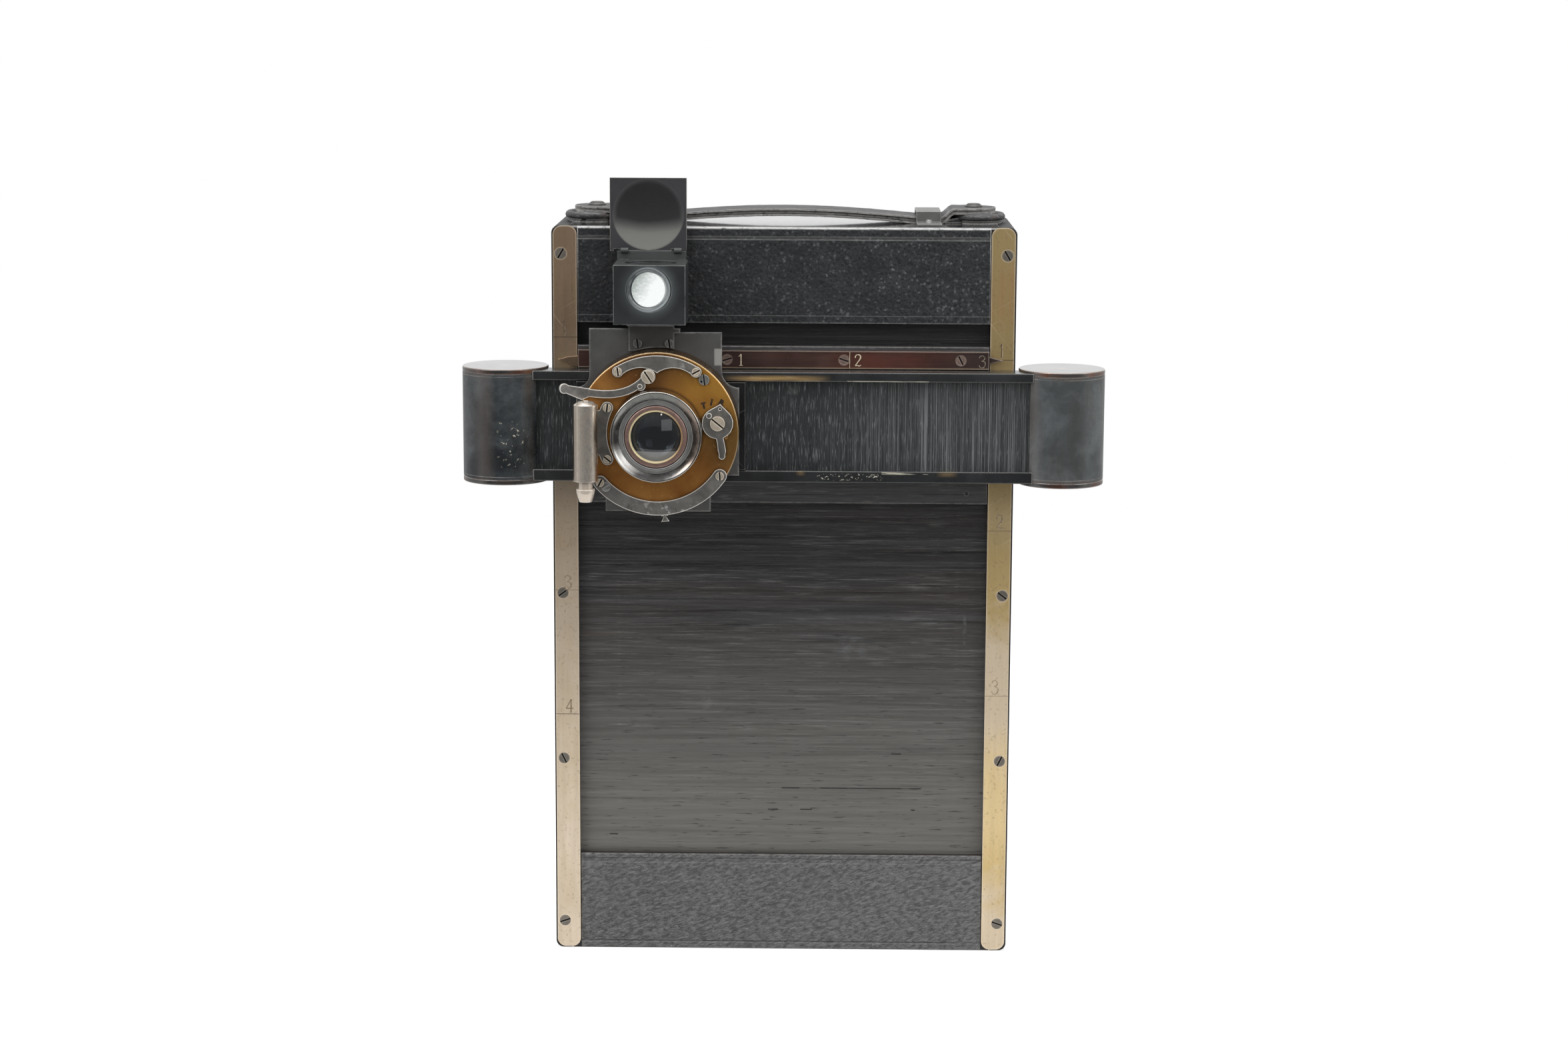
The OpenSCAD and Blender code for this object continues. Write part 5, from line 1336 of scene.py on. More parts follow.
# Strokes of the figures and letters, on a cell of 0.6 by 1, each with its width at every point
GLYPHS = {
    "1": [(((0.08, 0.8, 0.6), (0.2, 0.86, 0.8), (0.3, 1.0, 1.1)), False),
          (((0.3, 1.0, 1.2), (0.3, 0.0, 1.2)), False), (((0.14, 0.0, 0.6), (0.46, 0.0, 0.6)), False)],
    "2": [(((0.07, 0.74, 1.3), (0.07, 0.95, 0.8), (0.3, 1.03, 0.8), (0.52, 0.93, 1.3), (0.5, 0.66, 1.4),
            (0.3, 0.38, 0.9), (0.06, 0.03, 0.8)), True),
          (((0.06, 0.03, 0.9), (0.25, 0.08, 1.2), (0.42, -0.02, 1.2), (0.55, 0.1, 0.7)), True)],
    "3": [(((0.07, 0.84, 1.3), (0.1, 1.0, 0.8), (0.36, 1.05, 0.9), (0.54, 0.86, 1.3), (0.44, 0.6, 1.1),
            (0.22, 0.55, 0.7)), True),
          (((0.22, 0.55, 0.7), (0.5, 0.54, 1.0), (0.6, 0.26, 1.4), (0.4, -0.06, 1.1), (0.1, -0.03, 0.8),
            (0.05, 0.18, 1.3)), True)],
    "4": [(((0.4, 0.0, 1.2), (0.4, 1.0, 1.2)), False), (((0.4, 1.0, 0.7), (0.02, 0.3, 0.7)), False),
          (((0.02, 0.3, 0.9), (0.58, 0.3, 0.9)), False)],
    "T": [(((0.3, 0.0, 1.2), (0.3, 1.0, 1.2)), False), (((0.0, 1.0, 0.9), (0.6, 1.0, 0.9)), False),
          (((0.0, 1.0, 0.8), (0.0, 0.82, 0.8)), False), (((0.6, 1.0, 0.8), (0.6, 0.82, 0.8)), False),
          (((0.16, 0.0, 0.8), (0.44, 0.0, 0.8)), False)],
    "I": [(((0.3, 0.0, 1.2), (0.3, 1.0, 1.2)), False), (((0.14, 1.0, 0.8), (0.46, 1.0, 0.8)), False),
          (((0.14, 0.0, 0.8), (0.46, 0.0, 0.8)), False)],
    "B": [(((0.14, 0.0, 1.2), (0.14, 1.0, 1.2)), False),
          (((0.02, 1.0, 0.8), (0.42, 1.02, 0.8), (0.54, 0.78, 1.2), (0.4, 0.54, 0.9),
            (0.14, 0.53, 0.8)), True),
          (((0.14, 0.53, 0.8), (0.48, 0.55, 0.8), (0.62, 0.24, 1.2), (0.44, -0.02, 0.9),
            (0.02, 0.0, 0.8)), True)],
    "-": [(((0.0, 0.0, 1.0), (1.0, 0.0, 1.0)), False)],
}


def figures(name, marks, y, look, body):
    """Marks drawn with strokes: each is (glyph, x, z, height, turn, line radius, width share)."""
    ways = []
    for glyph, x, z, height, turn, radius, wide in marks:
        cos, sin = math.cos(math.radians(turn)), math.sin(math.radians(turn))
        for points, smooth in GLYPHS[glyph]:
            way = []
            for u, v, weight in points:
                across = (u - (0.5 if glyph == "-" else 0.3)) * height * wide
                along = (v - (0.0 if glyph == "-" else 0.5)) * height
                way.append((x + across * cos - along * sin, y, z + across * sin + along * cos, weight))
            ways.append((way, radius, smooth))
    return tube(name, ways, look, body, flat=(y, 0.35), resolution=1)


def smooth_step(share):
    share = min(1.0, max(0.0, share))
    return share * share * (3 - 2 * share)


# Operators

class CAMERA_OT_case(bpy.types.Operator):
    """Boards, guides and leather of the case"""
    bl_idname = "camera_dress.case"
    bl_label = "Case"

    def execute(self, context):
        sizes = context.scene.camera_sizes
        for side in ("left", "right"):
            dressed(side + "_side", side + "_side_board", "Ebonised wood", sizes.wood_edge)
        dressed("base", "base_board", "Ebonised board", sizes.wood_edge)
        dressed("front_board_pair", "front_boards", "Ebonised board", sizes.wood_edge * 0.6)
        dressed("top", "top_board", "Ebonised board")
        dressed("guides", "blind_guides", "Mahogany", sizes.wood_edge * 0.5)
        dressed("upper_leather", "case_leather", "Upper leather", sizes.leather_edge,
                keep=lambda middle: middle[2] > 100)
        dressed("lower_leather", "case_leather", "Lower leather", sizes.leather_edge,
                keep=lambda middle: middle[2] < 100)
        dressed("bush", "tripod_bush", "Brass", sizes.metal_edge)
        return {"FINISHED"}


class CAMERA_OT_rails(bpy.types.Operator):
    """Front rails with their screws, lines and figures"""
    bl_idname = "camera_dress.rails"
    bl_label = "Rails"

    def execute(self, context):
        sizes = context.scene.camera_sizes
        figure = sizes.rail_figure / MM
        dressed("rail_left", "left_rail", "Left rail brass", sizes.metal_edge * 1.6)
        dressed("rail_right", "right_rail", "Right rail brass", sizes.metal_edge * 1.6)
        slotted(dressed("rail_screw_set", "rail_screws", "Steel", sizes.metal_edge * 0.6))
        y = RAIL_FRONT - 0.005
        left = [("1", -75.6, 221.9, figure, 0, 0.15, 0.8), ("2", -75.4, 177.6, figure, 0, 0.15, 0.9),
                ("3", -75.0, 132.6, figure, 0, 0.15, 0.9), ("4", -74.6, 88.4, figure, 0, 0.15, 1.0)]
        left += [("-", -75.3, z, 8.0, 0, 0.12, 1.0) for z in (218.7, 174.3, 129.9, 85.5)]
        right = [("1", 75.2, 214.9, figure, 0, 0.15, 0.8), ("2", 75.4, 155.0, figure, 0, 0.15, 0.9),
                 ("3", 74.6, 96.2, figure, 0, 0.15, 0.9)]
        right += [("-", 75.3, z, 8.0, 0, 0.12, 1.0) for z in (211.6, 151.8, 93.0)]
        figures("rail_marks", left + right, y, "Rail mark", "case")
        # A pale copy of the figures, set a little right of and below them, is a painted highlight on their
        # struck edges.
        edges = [(g, x + 0.17, z - 0.17, h, t, r * 0.8, w)
                 for g, x, z, h, t, r, w in left + right if g != "-"]
        figures("rail_mark_edges", edges, y + 0.004, "Struck edge", "case")
        return {"FINISHED"}


class CAMERA_OT_rollers(bpy.types.Operator):
    """Spring rollers, their brackets and the rolled blinds"""
    bl_idname = "camera_dress.rollers"
    bl_label = "Rollers"

    def execute(self, context):
        sizes = context.scene.camera_sizes
        dressed("brackets", "roller_brackets", "Brass", sizes.metal_edge)
        for node in ("upper_roller", "lower_roller", "left_roller", "right_roller"):
            dressed(node + "_wound", node, "Mahogany", sizes.metal_edge)
        return {"FINISHED"}


class CAMERA_OT_back(bpy.types.Operator):
    """Back frame, focusing screen and leaf springs"""
    bl_idname = "camera_dress.back"
    bl_label = "Back"

    def execute(self, context):
        sizes = context.scene.camera_sizes
        dressed("back_frame_board", "back_frame", "Ebonised wood", sizes.wood_edge)
        dressed("focusing_screen_frame", "focusing_frame", "Mahogany", sizes.wood_edge)
        dressed("screen_bead", "glass_bead", "Mahogany", sizes.wood_edge * 0.6)
        dressed("screen_glass", "ground_glass", "Ground glass", sizes.metal_edge)
        dressed("spring_screw_set", "spring_screws", "Brass", sizes.metal_edge)
        for side, name in ((-1, "left"), (1, "right")):
            shape = solid("back_springs")
            # Coarse cuts along the leaf and fine ones where it bends, beside its screw
            for place in [*range(2, 66, 2), *(66 + 0.5 * step for step in range(9))]:
                cut(shape, (side * place * MM, 0, 0), (1, 0, 0), dist=1e-7)
            half = cut(shape, (0, 0, 0), (side, 0, 0), dist=1e-7, clear_inner=True)
            rim = [e for e in half["geom_cut"] if isinstance(e, bmesh.types.BMEdge)]
            bmesh.ops.holes_fill(shape, edges=rim, sides=0)
            spring = settle("back_spring_" + name, shape, "Brass", None, "back_springs")
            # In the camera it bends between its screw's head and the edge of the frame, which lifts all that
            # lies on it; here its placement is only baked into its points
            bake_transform(spring)
        return {"FINISHED"}


# The strap, in millimetres
CLIP_X = 50.0
CLIP_WIDTH = 8.6
TAB_Z = 260.6
STRAP_GAP = 0.3
STRAP_RISE = 2.9
STRAP_THICKNESS = 2.6
STRAP_HALF_LENGTH = 73.6
STRAP_HALF_WIDTH = 10.0
STRAP_EDGE = 9.95
STRAP_ROUND_X = 64
WEDGE_X = (55.6, 72.6)
# Each layer from one share of the thickness to another, how much narrower it is and how wavy its edge
STRAP_LAYERS = ((0.0, 0.3, 0.5, 0.12), (0.36, 0.66, 0.9, 0.2), (0.72, 1.0, 0.1, 0.28))


def past_clip(x):
    """0 inside the clips, 1 on the tabs at the strap's ends."""
    return smooth_step((abs(x) - CLIP_X - CLIP_WIDTH / 2) / 4.5)


def strap_low(x):
    arch = STRAP_RISE * math.cos(math.radians(min(abs(x), CLIP_X - 4) * 90 / CLIP_X))
    return CASE_HEIGHT + STRAP_GAP + arch + (TAB_Z - CASE_HEIGHT - STRAP_GAP) * past_clip(x)


def strap_high(x):
    return strap_low(x) + STRAP_THICKNESS - 0.6 * past_clip(x)


class CAMERA_OT_handle(bpy.types.Operator):
    """Layered leather strap, its loops, clips and studs"""
    bl_idname = "camera_dress.handle"
    bl_label = "Handle"

    def execute(self, context):
        sizes = context.scene.camera_sizes
        shape = bmesh.new()
        for index, (bottom, top, narrow, wave) in enumerate(STRAP_LAYERS):
            made = bmesh.ops.create_grid(shape, x_segments=146, y_segments=12, size=1.0)["verts"]
            for vert in made:
                x = vert.co.x * STRAP_HALF_LENGTH
                reach = STRAP_HALF_WIDTH - narrow
                if abs(x) > STRAP_ROUND_X:
                    reach *= math.sqrt(max(0.02, 1 - ((abs(x) - STRAP_ROUND_X) / 9.8) ** 2))
                y = vert.co.y * reach
                y += wave * noise.noise(Vector((x * 0.22, vert.co.y * 1.2, index * 7.0)))
                y += 0.1 * noise.noise(Vector((x * 1.7, vert.co.y * 3, index * 3.0)))
                z = strap_low(x) + (strap_high(x) - strap_low(x)) * bottom
                z += 0.07 * noise.noise(Vector((x * 0.35, y * 0.3, index * 11.0)))
                vert.co = Vector((x, max(-STRAP_EDGE, min(STRAP_EDGE, y)), z)) * MM
            layer = set(made)
            faces = [face for face in shape.faces if all(vert in layer for vert in face.verts)]
            bmesh.ops.recalc_face_normals(shape, faces=faces)
            if sum(face.normal.z for face in faces) > 0:
                bmesh.ops.reverse_faces(shape, faces=faces)
            bmesh.ops.solidify(shape, geom=faces, thickness=-STRAP_THICKNESS * (top - bottom) * MM)
        # A wedge of leather under each end closes the gap below the loops
        for side in (-1, 1):
            for vert in bmesh.ops.create_cube(shape, size=1)["verts"]:
                x = WEDGE_X[0] if vert.co.x < 0 else WEDGE_X[1]
                z = strap_low(x) - 0.03 if vert.co.z > 0 else CASE_HEIGHT + 0.05
                vert.co = Vector((side * x, vert.co.y * 17.6 * (0.6 if x > 60 else 1.0), z)) * MM
        bmesh.ops.recalc_face_normals(shape, faces=shape.faces)
        settle("strap", shape, "Strap leather", "case", "handle_strap", sizes.metal_edge)
        dressed("loops", "handle_loops", "Strap leather")
        dressed("clips", "handle_fittings", "Clip steel", sizes.metal_edge,
                keep=lambda middle: abs(middle[0]) < 60)
        dressed("studs", "handle_fittings", "Dark stud", sizes.metal_edge,
                keep=lambda middle: abs(middle[0]) >= 60)
        return {"FINISHED"}


class CAMERA_OT_carriage(bpy.types.Operator):
    """Carriage board, scale bar with its figures, and row pointers"""
    bl_idname = "camera_dress.carriage"
    bl_label = "Carriage"

    def execute(self, context):
        sizes = context.scene.camera_sizes
        figure = sizes.scale_figure / MM
        dressed("board", "carriage_board", "Carriage wood", sizes.wood_edge * 0.4)
        dressed("bar", "scale_bar", "Scale lacquer", sizes.metal_edge)
        slotted(dressed("bar_screws", "scale_screws", "Bar steel", sizes.metal_edge * 0.6))
        dressed("left_pointer", "row_pointers", "Pointer brass", sizes.metal_edge,
                keep=lambda middle: middle[0] < 0)
        dressed("right_pointer", "row_pointers", "Scale lacquer", sizes.metal_edge,
                keep=lambda middle: middle[0] > 0)
        marks = [("1", -14.6, 211.4, figure, 0, 0.16, 1.0), ("2", 25.7, 211.4, figure, 0, 0.16, 1.05),
                 ("-", 22.85, 211.5, 5.6, 90, 0.08, 1.0)]
        figures("bar_figures", marks, -29.51, "Gilt paint", "carriage")
        figures("bar_figure_dull", [("3", 68.4, 211.2, figure, 0, 0.16, 1.05)], -29.51, "Dull gilt",
                "carriage")
        ring = turned([(0.95, -28.02), (0.7, -27.95), (0.7, -28.1), (0.95, -28.08)], 24, (63.7, 165.05))
        settle("nail_rim", ring, "Carriage wood", "carriage")
        return {"FINISHED"}


class CAMERA_OT_frame(bpy.types.Operator):
    """Grooved frame and the two roller housings"""
    bl_idname = "camera_dress.frame"
    bl_label = "Frame and housings"

    def execute(self, context):
        sizes = context.scene.camera_sizes
        dressed("frame", "carriage_frame", "Frame lacquer", sizes.wood_edge * 0.6)
        dressed("cylinders", "housings", "Housing lacquer", sizes.metal_edge)
        dressed("caps", "housing_caps", "Cap lacquer", sizes.wood_edge * 0.6, segments=3)
        return {"FINISHED"}


SLAT = 0.0015    # a blind is cut into strips of this many metres


class CAMERA_OT_blinds(bpy.types.Operator):
    """The four veneer blinds, cut into slats; in the camera they roll up as the carriage and the lens board
    slide
    """
    bl_idname = "camera_dress.blinds"
    bl_label = "Blinds"

    def execute(self, context):
        for node, look, axis, bodies, start, end in (
                ("upper_blind", "Case veneer", 2, ("case", "carriage"), 0.2405, 0.209),
                ("lower_blind", "Case veneer", 2, ("case", "carriage"), 0.0, 0.190),
                ("left_blind", "Side veneer", 0, ("carriage", "lens_board"), -0.096, -0.07073),
                ("right_blind", "Side veneer", 0, ("lens_board", "carriage"), -0.0188, 0.109)):
            low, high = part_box(node)
            shape = bmesh.new()
            place = Matrix.Translation((low + high) / 2) @ Matrix.Diagonal((*(high - low), 1))
            bmesh.ops.create_cube(shape, size=1, matrix=place)
            normal = Vector((0, 0, 0))
            normal[axis] = 1
            step = low[axis] + SLAT
            while step < high[axis] - SLAT / 3:
                cut(shape, normal * step, normal, dist=1e-7)
                step += SLAT
            piece = settle(node + "_sheet", shape, look, None, node, sheet=True)
            where = [Vector((0, 0, 0)), Vector((0, 0, 0))]
            where[0][axis], where[1][axis] = start, end
            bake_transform(piece)
        return {"FINISHED"}


class CAMERA_OT_lens_board(bpy.types.Operator):
    """Lens panel, lens plate and the exposure tunnel"""
    bl_idname = "camera_dress.lens_board"
    bl_label = "Lens board"

    def execute(self, context):
        sizes = context.scene.camera_sizes
        dressed("panel", "lens_panel", "Black lacquer", sizes.metal_edge)
        dressed("plate", "lens_plate", "Board lacquer", sizes.metal_edge * 1.2)
        dressed("tunnel", "exposure_chamber", "Dull black", sizes.metal_edge)
        return {"FINISHED"}


class CAMERA_OT_shutter(bpy.types.Operator):
    """Shutter case, its lacquered face, nickel furniture, screws and letters"""
    bl_idname = "camera_dress.shutter"
    bl_label = "Shutter"

    def execute(self, context):
        edge = context.scene.camera_sizes.metal_edge
        dressed("shutter_drum", "shutter_case", "Drum brass", edge * 2)
        dressed("shutter_plate", "shutter_face", "Amber brass", edge * 1.6)
        dressed("furniture", "nickel_plates", "Nickel", edge * 1.3)
        slotted(dressed("face_screws", "shutter_screws", "Screw nickel", edge * 0.6,
                        keep=lambda middle: not (middle[0] > -28 and middle[2] > 205)))
        slotted(dressed("cover_screw", "shutter_screws", "Black screw", edge * 0.6,
                        keep=lambda middle: middle[0] > -28 and middle[2] > 205))
        for name, look, x, z, radius, front in (("face_stud", "Drum brass", -19.2, 187.8, 0.85, -52.18),
                                                ("cover_stud", "Brass", -27.3, 206.6, 0.5, -52.5),
                                                ("ring_screw", "Black screw", -59.75, 170.45, 1.6, -53.05)):
            head = turned([(radius, -51.9), (radius, front + 0.12), (radius - 0.15, front), (0.0, front),
                           (0.0, -51.9)], 32, (x, z))
            if radius > 1:
                slot = Matrix.Translation(Vector((x, front, z)) * MM) @ Matrix.Rotation(
                    math.radians(-32), 4, "Y") @ Matrix.Diagonal((2.9 * MM, 0.04 * MM, 0.45 * MM, 1))
                bmesh.ops.create_cube(head, size=1, matrix=slot)
            settle(name, head, look, "lens_board", angle=50)
        letters = [("T", -26.55, 198.4, 1.85, 12, 0.27, 1.15), ("I", -23.9, 199.6, 1.85, -14, 0.27, 1.15),
                   ("B", -20.7, 199.5, 1.85, -34, 0.27, 1.15)]
        ticks = []
        for turn in (-21.4, -7.3, -0.8, 13.9, 35.8):
            way = math.radians(turn - 90)
            ticks.append(("-", LENS[0] + 26.9 * math.cos(way), LENS[1] + 26.9 * math.sin(way), 1.6,
                          turn - 90, 0.06, 1.0))
        figures("shutter_letters", letters, FACE_FRONT - 0.02, "Letter black", "lens_board")
        figures("stop_ticks", ticks, FACE_FRONT - 0.805, "Engraved", "lens_board")
        return {"FINISHED"}


class CAMERA_OT_levers(bpy.types.Operator):
    """Release lever, mode lever, stop ring and blades"""
    bl_idname = "camera_dress.levers"
    bl_label = "Levers and blades"

    def execute(self, context):
        edge = context.scene.camera_sizes.metal_edge
        slotted(dressed("release", "release_lever", "Nickel", edge * 1.3))
        slotted(dressed("mode", "mode_lever", "Nickel", edge * 1.3))
        dressed("stops", "stop_ring", "Nickel", edge)
        dressed("blade_upper", "upper_blade", "Dull black", edge * 0.5)
        dressed("blade_lower", "lower_blade", "Dull black", edge * 0.5)
        return {"FINISHED"}


class CAMERA_OT_lens(bpy.types.Operator):
    """Lens barrel, cells and glasses"""
    bl_idname = "camera_dress.lens"
    bl_label = "Lens"

    def execute(self, context):
        teeth = context.scene.camera_sizes.milled_teeth
        barrel = turned([(15.4, -52.0), (15.4, -60.5), (15.38, -60.62), (15.4, -60.75), (15.4, -61.25),
                         (15.3, -61.42), (15.05, -61.5), (14.85, -61.46), (14.65, -61.34), (14.1, -61.05),
                         (13.5, -60.82), (13.0, -60.68), (12.62, -60.6), (12.55, -60.4), (12.55, -48.45),
                         (12.56, -48.42), (12.58, -52.0)], teeth * 2)
        milled(barrel, LENS, 15.2, 15.5, -61.3, -60.7, 0.05, teeth)
        settle("barrel", barrel, "Barrel nickel", "lens_board", "lens_barrel", angle=50)
        dark = turned([(12.54, -48.5), (12.54, -60.45), (12.45, -60.58), (12.2, -60.62), (11.6, -60.5),
                       (11.32, -60.4), (11.2, -60.2), (11.2, -48.5)], 128)
        settle("barrel_ring", dark, "Black screw", "lens_board", "lens_barrel")
        ring = turned([(11.18, -48.5), (11.18, -60.1), (11.1, -60.3), (10.95, -60.35), (10.75, -60.2),
                       (10.62, -59.9), (10.62, -48.5)], 128)
        settle("cell_ring", ring, "Black screw", "lens_board", "lens_cell")
        cell = turned([(10.6, -48.5), (10.6, -60.1), (10.45, -60.42), (10.2, -60.56), (9.1, -60.5),
                       (8.95, -60.3), (8.95, -59.6), (9.25, -59.5), (9.25, -54.6), (8.45, -54.5),
                       (8.45, -48.5)], 240)
        milled(cell, LENS, 10.1, 10.7, -60.6, -60.3, 0.1, 120)
        settle("cell", cell, "Cell brass", "lens_board", "lens_cell")
        lip = turned([(9.14, -60.3), (9.1, -59.2), (8.45, -59.2), (8.45, -60.2), (8.58, -60.5),
                      (8.8, -60.62), (9.05, -60.6)], 240)
        settle("cell_lip", lip, "Gold edge", "lens_board", "lens_cell")
        glass = []
        for side, middle, bulge in ((-1, -58.2, 2.0), (1, -56.3, 1.3)):
            steps = [i / 14 for i in range(15)]
            if side > 0:
                steps.reverse()
            glass += [(9.2 * t, middle + side * bulge * (1 - t * t)) for t in steps]
        settle("front_glass", turned(glass, 96), "Front glass", "lens_board", "front_lens",
               angle=60)
        dressed("rear_ring", "rear_cell", "Brass", context.scene.camera_sizes.metal_edge)
        dressed("rear_glass", "rear_lens", "Clear glass", angle=60)
        return {"FINISHED"}


class CAMERA_OT_air_cylinder(bpy.types.Operator):
    """Air cylinder with its hose nipple, and its piston"""
    bl_idname = "camera_dress.air_cylinder"
    bl_label = "Air cylinder"

    def execute(self, context):
        edge = context.scene.camera_sizes.metal_edge
        shape = solid("air_cylinder")
        for vert in shape.verts:
            if vert.co.x < -0.0605:
                vert.co.x = (AIR_X - 0.2 + (vert.co.x / MM - AIR_X) * 1.06) * MM
        settle("cylinder", shape, "Bright nickel", "lens_board", "air_cylinder",
               edge * 1.6)
        dressed("piston", "air_piston", "Bright nickel", edge)
        return {"FINISHED"}


class CAMERA_OT_finder(bpy.types.Operator):
    """Reflecting finder with its bracket and lid"""
    bl_idname = "camera_dress.finder"
    bl_label = "Finder"

    def execute(self, context):
        edge = context.scene.camera_sizes.metal_edge
        drop = 2.15
        shape = islands(solid("finder_box"), lambda middle: middle[2] < 247)
        for vert in shape.verts:
            if vert.co.z > 0.2456 and vert.co.y < -0.0299:
                vert.co.z -= drop * MM
        settle("finder", shape, "Finder lacquer", "lens_board", "finder_box", edge * 1.3)
        hinge = islands(solid("finder_box"), lambda middle: middle[2] >= 247)
        leaf = Matrix.Translation(Vector((FINDER_X - 0.4, -30.5, 247.1)) * MM) @ Matrix.Diagonal(
            (23.6 * MM, 0.6 * MM, 3.4 * MM, 1))
        bmesh.ops.create_cube(hinge, size=1, matrix=leaf)
        for x in (FINDER_X - 9.6, FINDER_X + 8.6):
            turn = Matrix.Translation(Vector((x, -30.75, 248.9)) * MM) @ Matrix.Rotation(math.pi / 2, 4, "Y")
            bmesh.ops.create_cone(hinge, cap_ends=True, segments=24, radius1=1.0 * MM, radius2=1.0 * MM,
                                  depth=2.6 * MM, matrix=turn)
        settle("finder_hinge", hinge, "Finder leaf", "lens_board", "finder_box", edge)
        slotted(dressed("finder_foot", "finder_bracket", "Bracket lacquer", edge))
        lid = solid("finder_lid")
        bmesh.ops.translate(lid, verts=lid.verts, vec=Vector((-1.55, 0, -0.8)) * MM)
        settle("finder_cover", lid, "Lid black", "finder_lid", "finder_lid", edge)
        front = islands(solid("finder_optics"), lambda middle: middle[1] < -51)
        bmesh.ops.translate(front, verts=front.verts, vec=Vector((-0.5, 0, 0)) * MM)
        settle("finder_front_glass", front, "Opal glass", "lens_board", "finder_optics", edge)
        top = islands(solid("finder_optics"), lambda middle: middle[1] >= -51)
        for vert in top.verts:
            if vert.co.z > 0.2456:
                vert.co.z -= drop * MM
        settle("finder_top_glass", top, "Clear glass", "lens_board", "finder_optics", edge)
        centre = (FINDER_X - 0.4, FINDER_AXIS)
        rim = turned([(7.55, -52.62), (7.55, -52.98), (7.4, -53.0), (7.15, -53.0), (6.95, -52.9),
                      (6.7, -52.75), (6.2, -52.62), (6.2, -52.5), (7.0, -52.5)], 96, centre)
        settle("finder_rim", rim, "Finder lacquer", "lens_board")
        return {"FINISHED"}


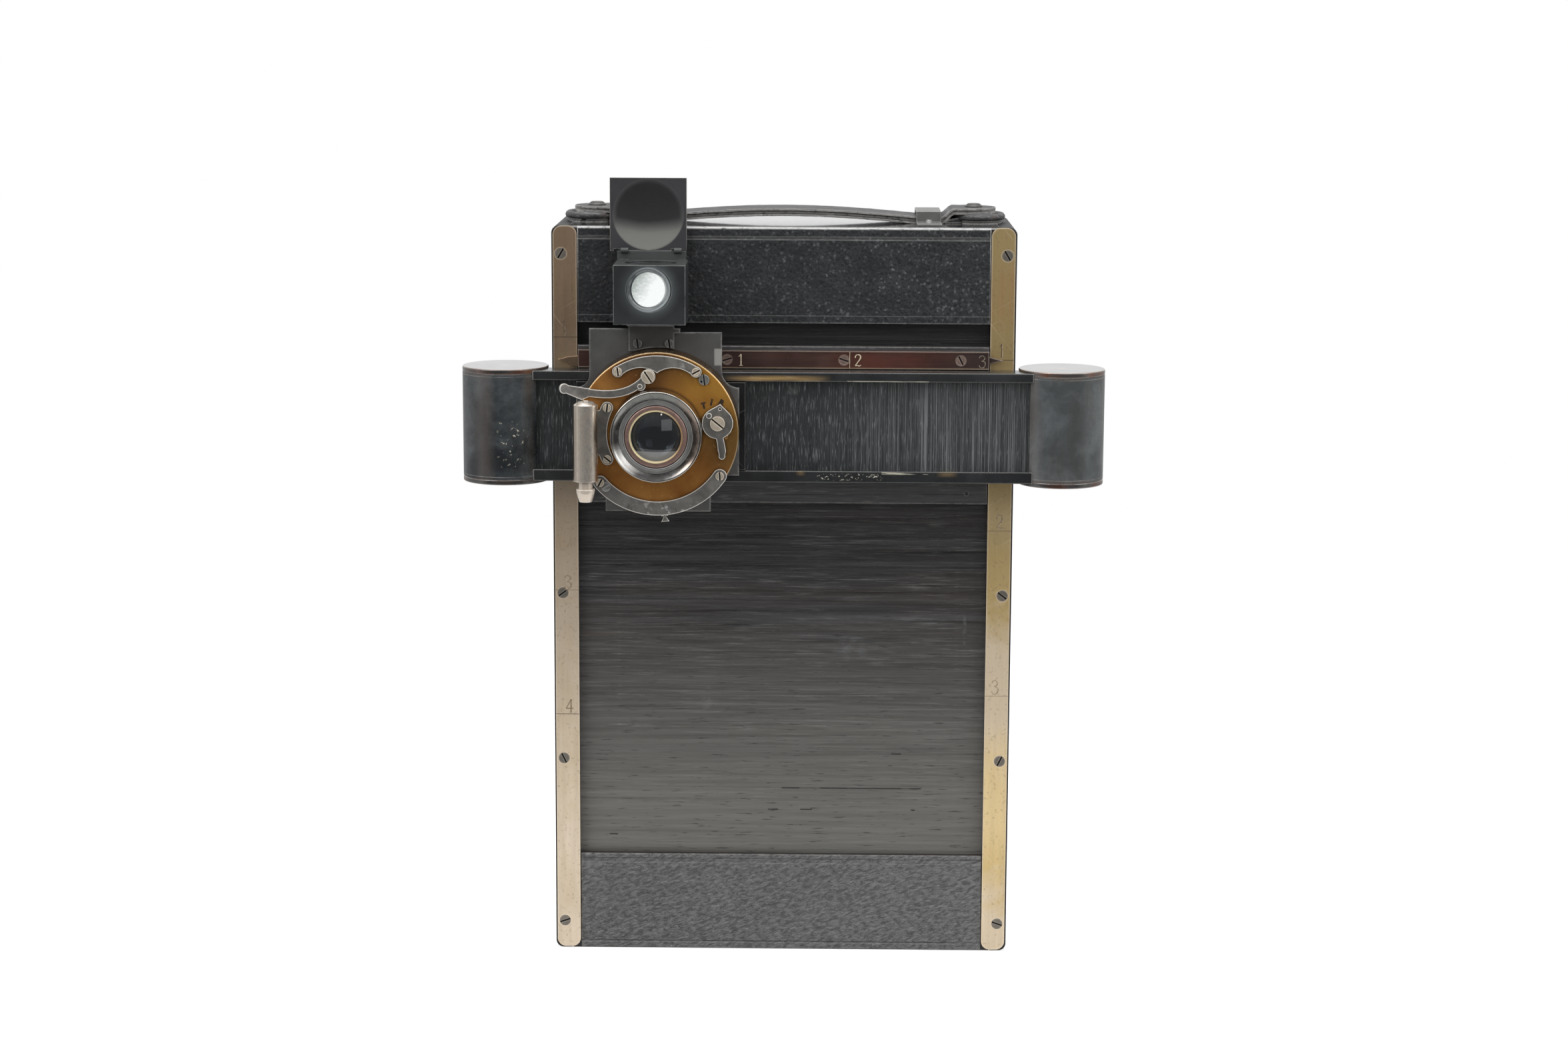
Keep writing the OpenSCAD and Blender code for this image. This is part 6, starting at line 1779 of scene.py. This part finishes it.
class CAMERA_OT_stage(bpy.types.Operator):
    """Table, light, world and view"""
    bl_idname = "camera_dress.stage"
    bl_label = "Stage"

    def execute(self, context):
        sizes = context.scene.camera_sizes
        self.table(context, sizes)
        self.lamps(context, sizes)
        self.world(context)
        self.view(context, sizes)
        return {"FINISHED"}

    def table(self, context, sizes):
        shape = bmesh.new()
        bmesh.ops.create_circle(shape, cap_ends=True, segments=128, radius=3.2)
        cut(shape, (0, -sizes.floor_reach, 0), (0, -1, 0), clear_outer=True)
        mesh = bpy.data.meshes.new("table")
        shape.to_mesh(mesh)
        shape.free()
        table = bpy.data.objects.new("table", mesh)
        context.scene.collection.objects.link(table)
        material = bpy.data.materials.new("Table")
        material.use_nodes = True
        nodes = material.node_tree.nodes
        nodes.clear()
        tree = Tree(nodes, material.node_tree.links)
        spot = tree.node("TexCoord").outputs["Object"]
        away = tree.node("VectorMath", {0: spot}, operation="LENGTH").outputs["Value"]
        far = tree.ramp(away, 0.3, 0.8)
        floor = context.scene.camera_colours.floor[:]
        cloth = tree.node("BsdfDiffuse", {"Color": tree.mix(far, floor, (0.0, 0.0, 0.0))})
        path = tree.node("LightPath").outputs
        mirrored = tree.most(path["Is Glossy Ray"], path["Is Transmission Ray"])
        seen = tree.most(path["Is Camera Ray"], tree.times(mirrored, 0.4))
        level = tree.ramp(far, 0.0, 1.0, 0.58, 1.0)
        glow = tree.node("Emission", {"Color": (1, 1, 1, 1), "Strength": tree.times(seen, level)})
        both = tree.node("AddShader", {0: cloth.outputs[0], 1: glow.outputs[0]})
        ending = tree.node("OutputMaterial")
        tree.links.new(both.outputs[0], ending.inputs[0])
        mesh.materials.append(material)

    def lamps(self, context, sizes):
        for name, place, size, watts in (("key_box", (-1.45, -1.15, 1.5), (1.3, 1.3), 27),
                                         ("right_box", (1.5, -0.85, 1.15), (1.1, 1.3), 18),
                                         ("top_box", (0.0, -0.3, 1.9), (1.6, 1.0), 30),
                                         ("window", (0.30, -1.20, 0.455), (0.4, 0.42), 0.6)):
            light = bpy.data.lights.new(name, "AREA")
            light.shape = "RECTANGLE"
            light.size, light.size_y = size
            light.energy = watts * sizes.lamp_level
            lamp = bpy.data.objects.new(name, light)
            lamp.location = place
            aim = Vector((0, 0, 0.14)) - Vector(place)
            lamp.rotation_euler = aim.to_track_quat("-Z", "Y").to_euler()
            context.scene.collection.objects.link(lamp)

    def world(self, context):
        world = bpy.data.worlds.new("Studio")
        context.scene.world = world
        world.use_nodes = True
        nodes = world.node_tree.nodes
        nodes.clear()
        tree = Tree(nodes, world.node_tree.links)
        way = tree.node("SeparateXYZ", {0: tree.node("TexCoord").outputs["Generated"]}).outputs
        forward = tree.times(way["Y"], -1.0)
        room = tree.most(tree.ramp(forward, 0.2, 0.7, 0.9, 0.05), tree.ramp(way["Z"], 0.15, 0.6, 0.05, 0.34))
        path = tree.node("LightPath").outputs
        mirrored = tree.most(path["Is Glossy Ray"], path["Is Transmission Ray"])
        strength = tree.most(path["Is Camera Ray"], tree.times(mirrored, room))
        rest = tree.times(tree.minus(1.0, mirrored), 0.5)
        strength = tree.most(strength, rest)
        light = tree.node("Background", {"Color": (1, 1, 1, 1), "Strength": strength})
        ending = tree.node("OutputWorld")
        tree.links.new(light.outputs[0], ending.inputs[0])

    def view(self, context, sizes):
        data = bpy.data.cameras.new("view")
        data.lens = sizes.lens_length
        data.sensor_width = 36
        data.clip_start = 0.01
        eye = bpy.data.objects.new("view", data)
        pitch, yaw, roll = (math.radians(a) for a in (9.680, -0.757, 0.272))
        ahead = Vector((math.sin(yaw) * math.cos(pitch), math.cos(yaw) * math.cos(pitch), -math.sin(pitch)))
        level = Vector((math.cos(yaw), -math.sin(yaw), 0))
        upright = level.cross(ahead)
        right = math.cos(roll) * level + math.sin(roll) * upright
        up = math.cos(roll) * upright - math.sin(roll) * level
        turn = Matrix((right, up, -ahead)).transposed()
        eye.matrix_world = Matrix.Translation(Vector((14.748, -1109.380, 338.879)) * MM) @ turn.to_4x4()
        context.scene.collection.objects.link(eye)
        context.scene.camera = eye
        context.scene.view_settings.view_transform = "Standard"


OPERATORS = (
    CAMERA_OT_case, CAMERA_OT_rails, CAMERA_OT_rollers, CAMERA_OT_back, CAMERA_OT_handle,
    CAMERA_OT_carriage, CAMERA_OT_frame, CAMERA_OT_blinds, CAMERA_OT_lens_board, CAMERA_OT_shutter,
    CAMERA_OT_levers, CAMERA_OT_lens, CAMERA_OT_air_cylinder, CAMERA_OT_finder, CAMERA_OT_stage,
)


class CAMERA_PT_dress(bpy.types.Panel):
    """Lists the pieces, sizes and colours"""
    bl_label = "Multiplying camera"
    bl_space_type = "VIEW_3D"
    bl_region_type = "UI"
    bl_category = "Camera"

    def draw(self, context):
        for operator in OPERATORS:
            self.layout.operator(operator.bl_idname)
        for group in (context.scene.camera_sizes, context.scene.camera_colours):
            for name in group.bl_rna.properties.keys():
                if name not in ("rna_type", "name"):
                    self.layout.prop(group, name)


CLASSES = (CameraSizes, CameraColours, *OPERATORS, CAMERA_PT_dress)


def register():
    for item in CLASSES:
        bpy.utils.register_class(item)
    bpy.types.Scene.camera_sizes = PointerProperty(type=CameraSizes)
    bpy.types.Scene.camera_colours = PointerProperty(type=CameraColours)


def unregister():
    del bpy.types.Scene.camera_colours
    del bpy.types.Scene.camera_sizes
    for item in reversed(CLASSES):
        bpy.utils.unregister_class(item)


def main():
    register()
    for operator in OPERATORS:
        getattr(bpy.ops.camera_dress, operator.bl_idname.split(".")[1])()


if __name__ == "__main__":
    main()
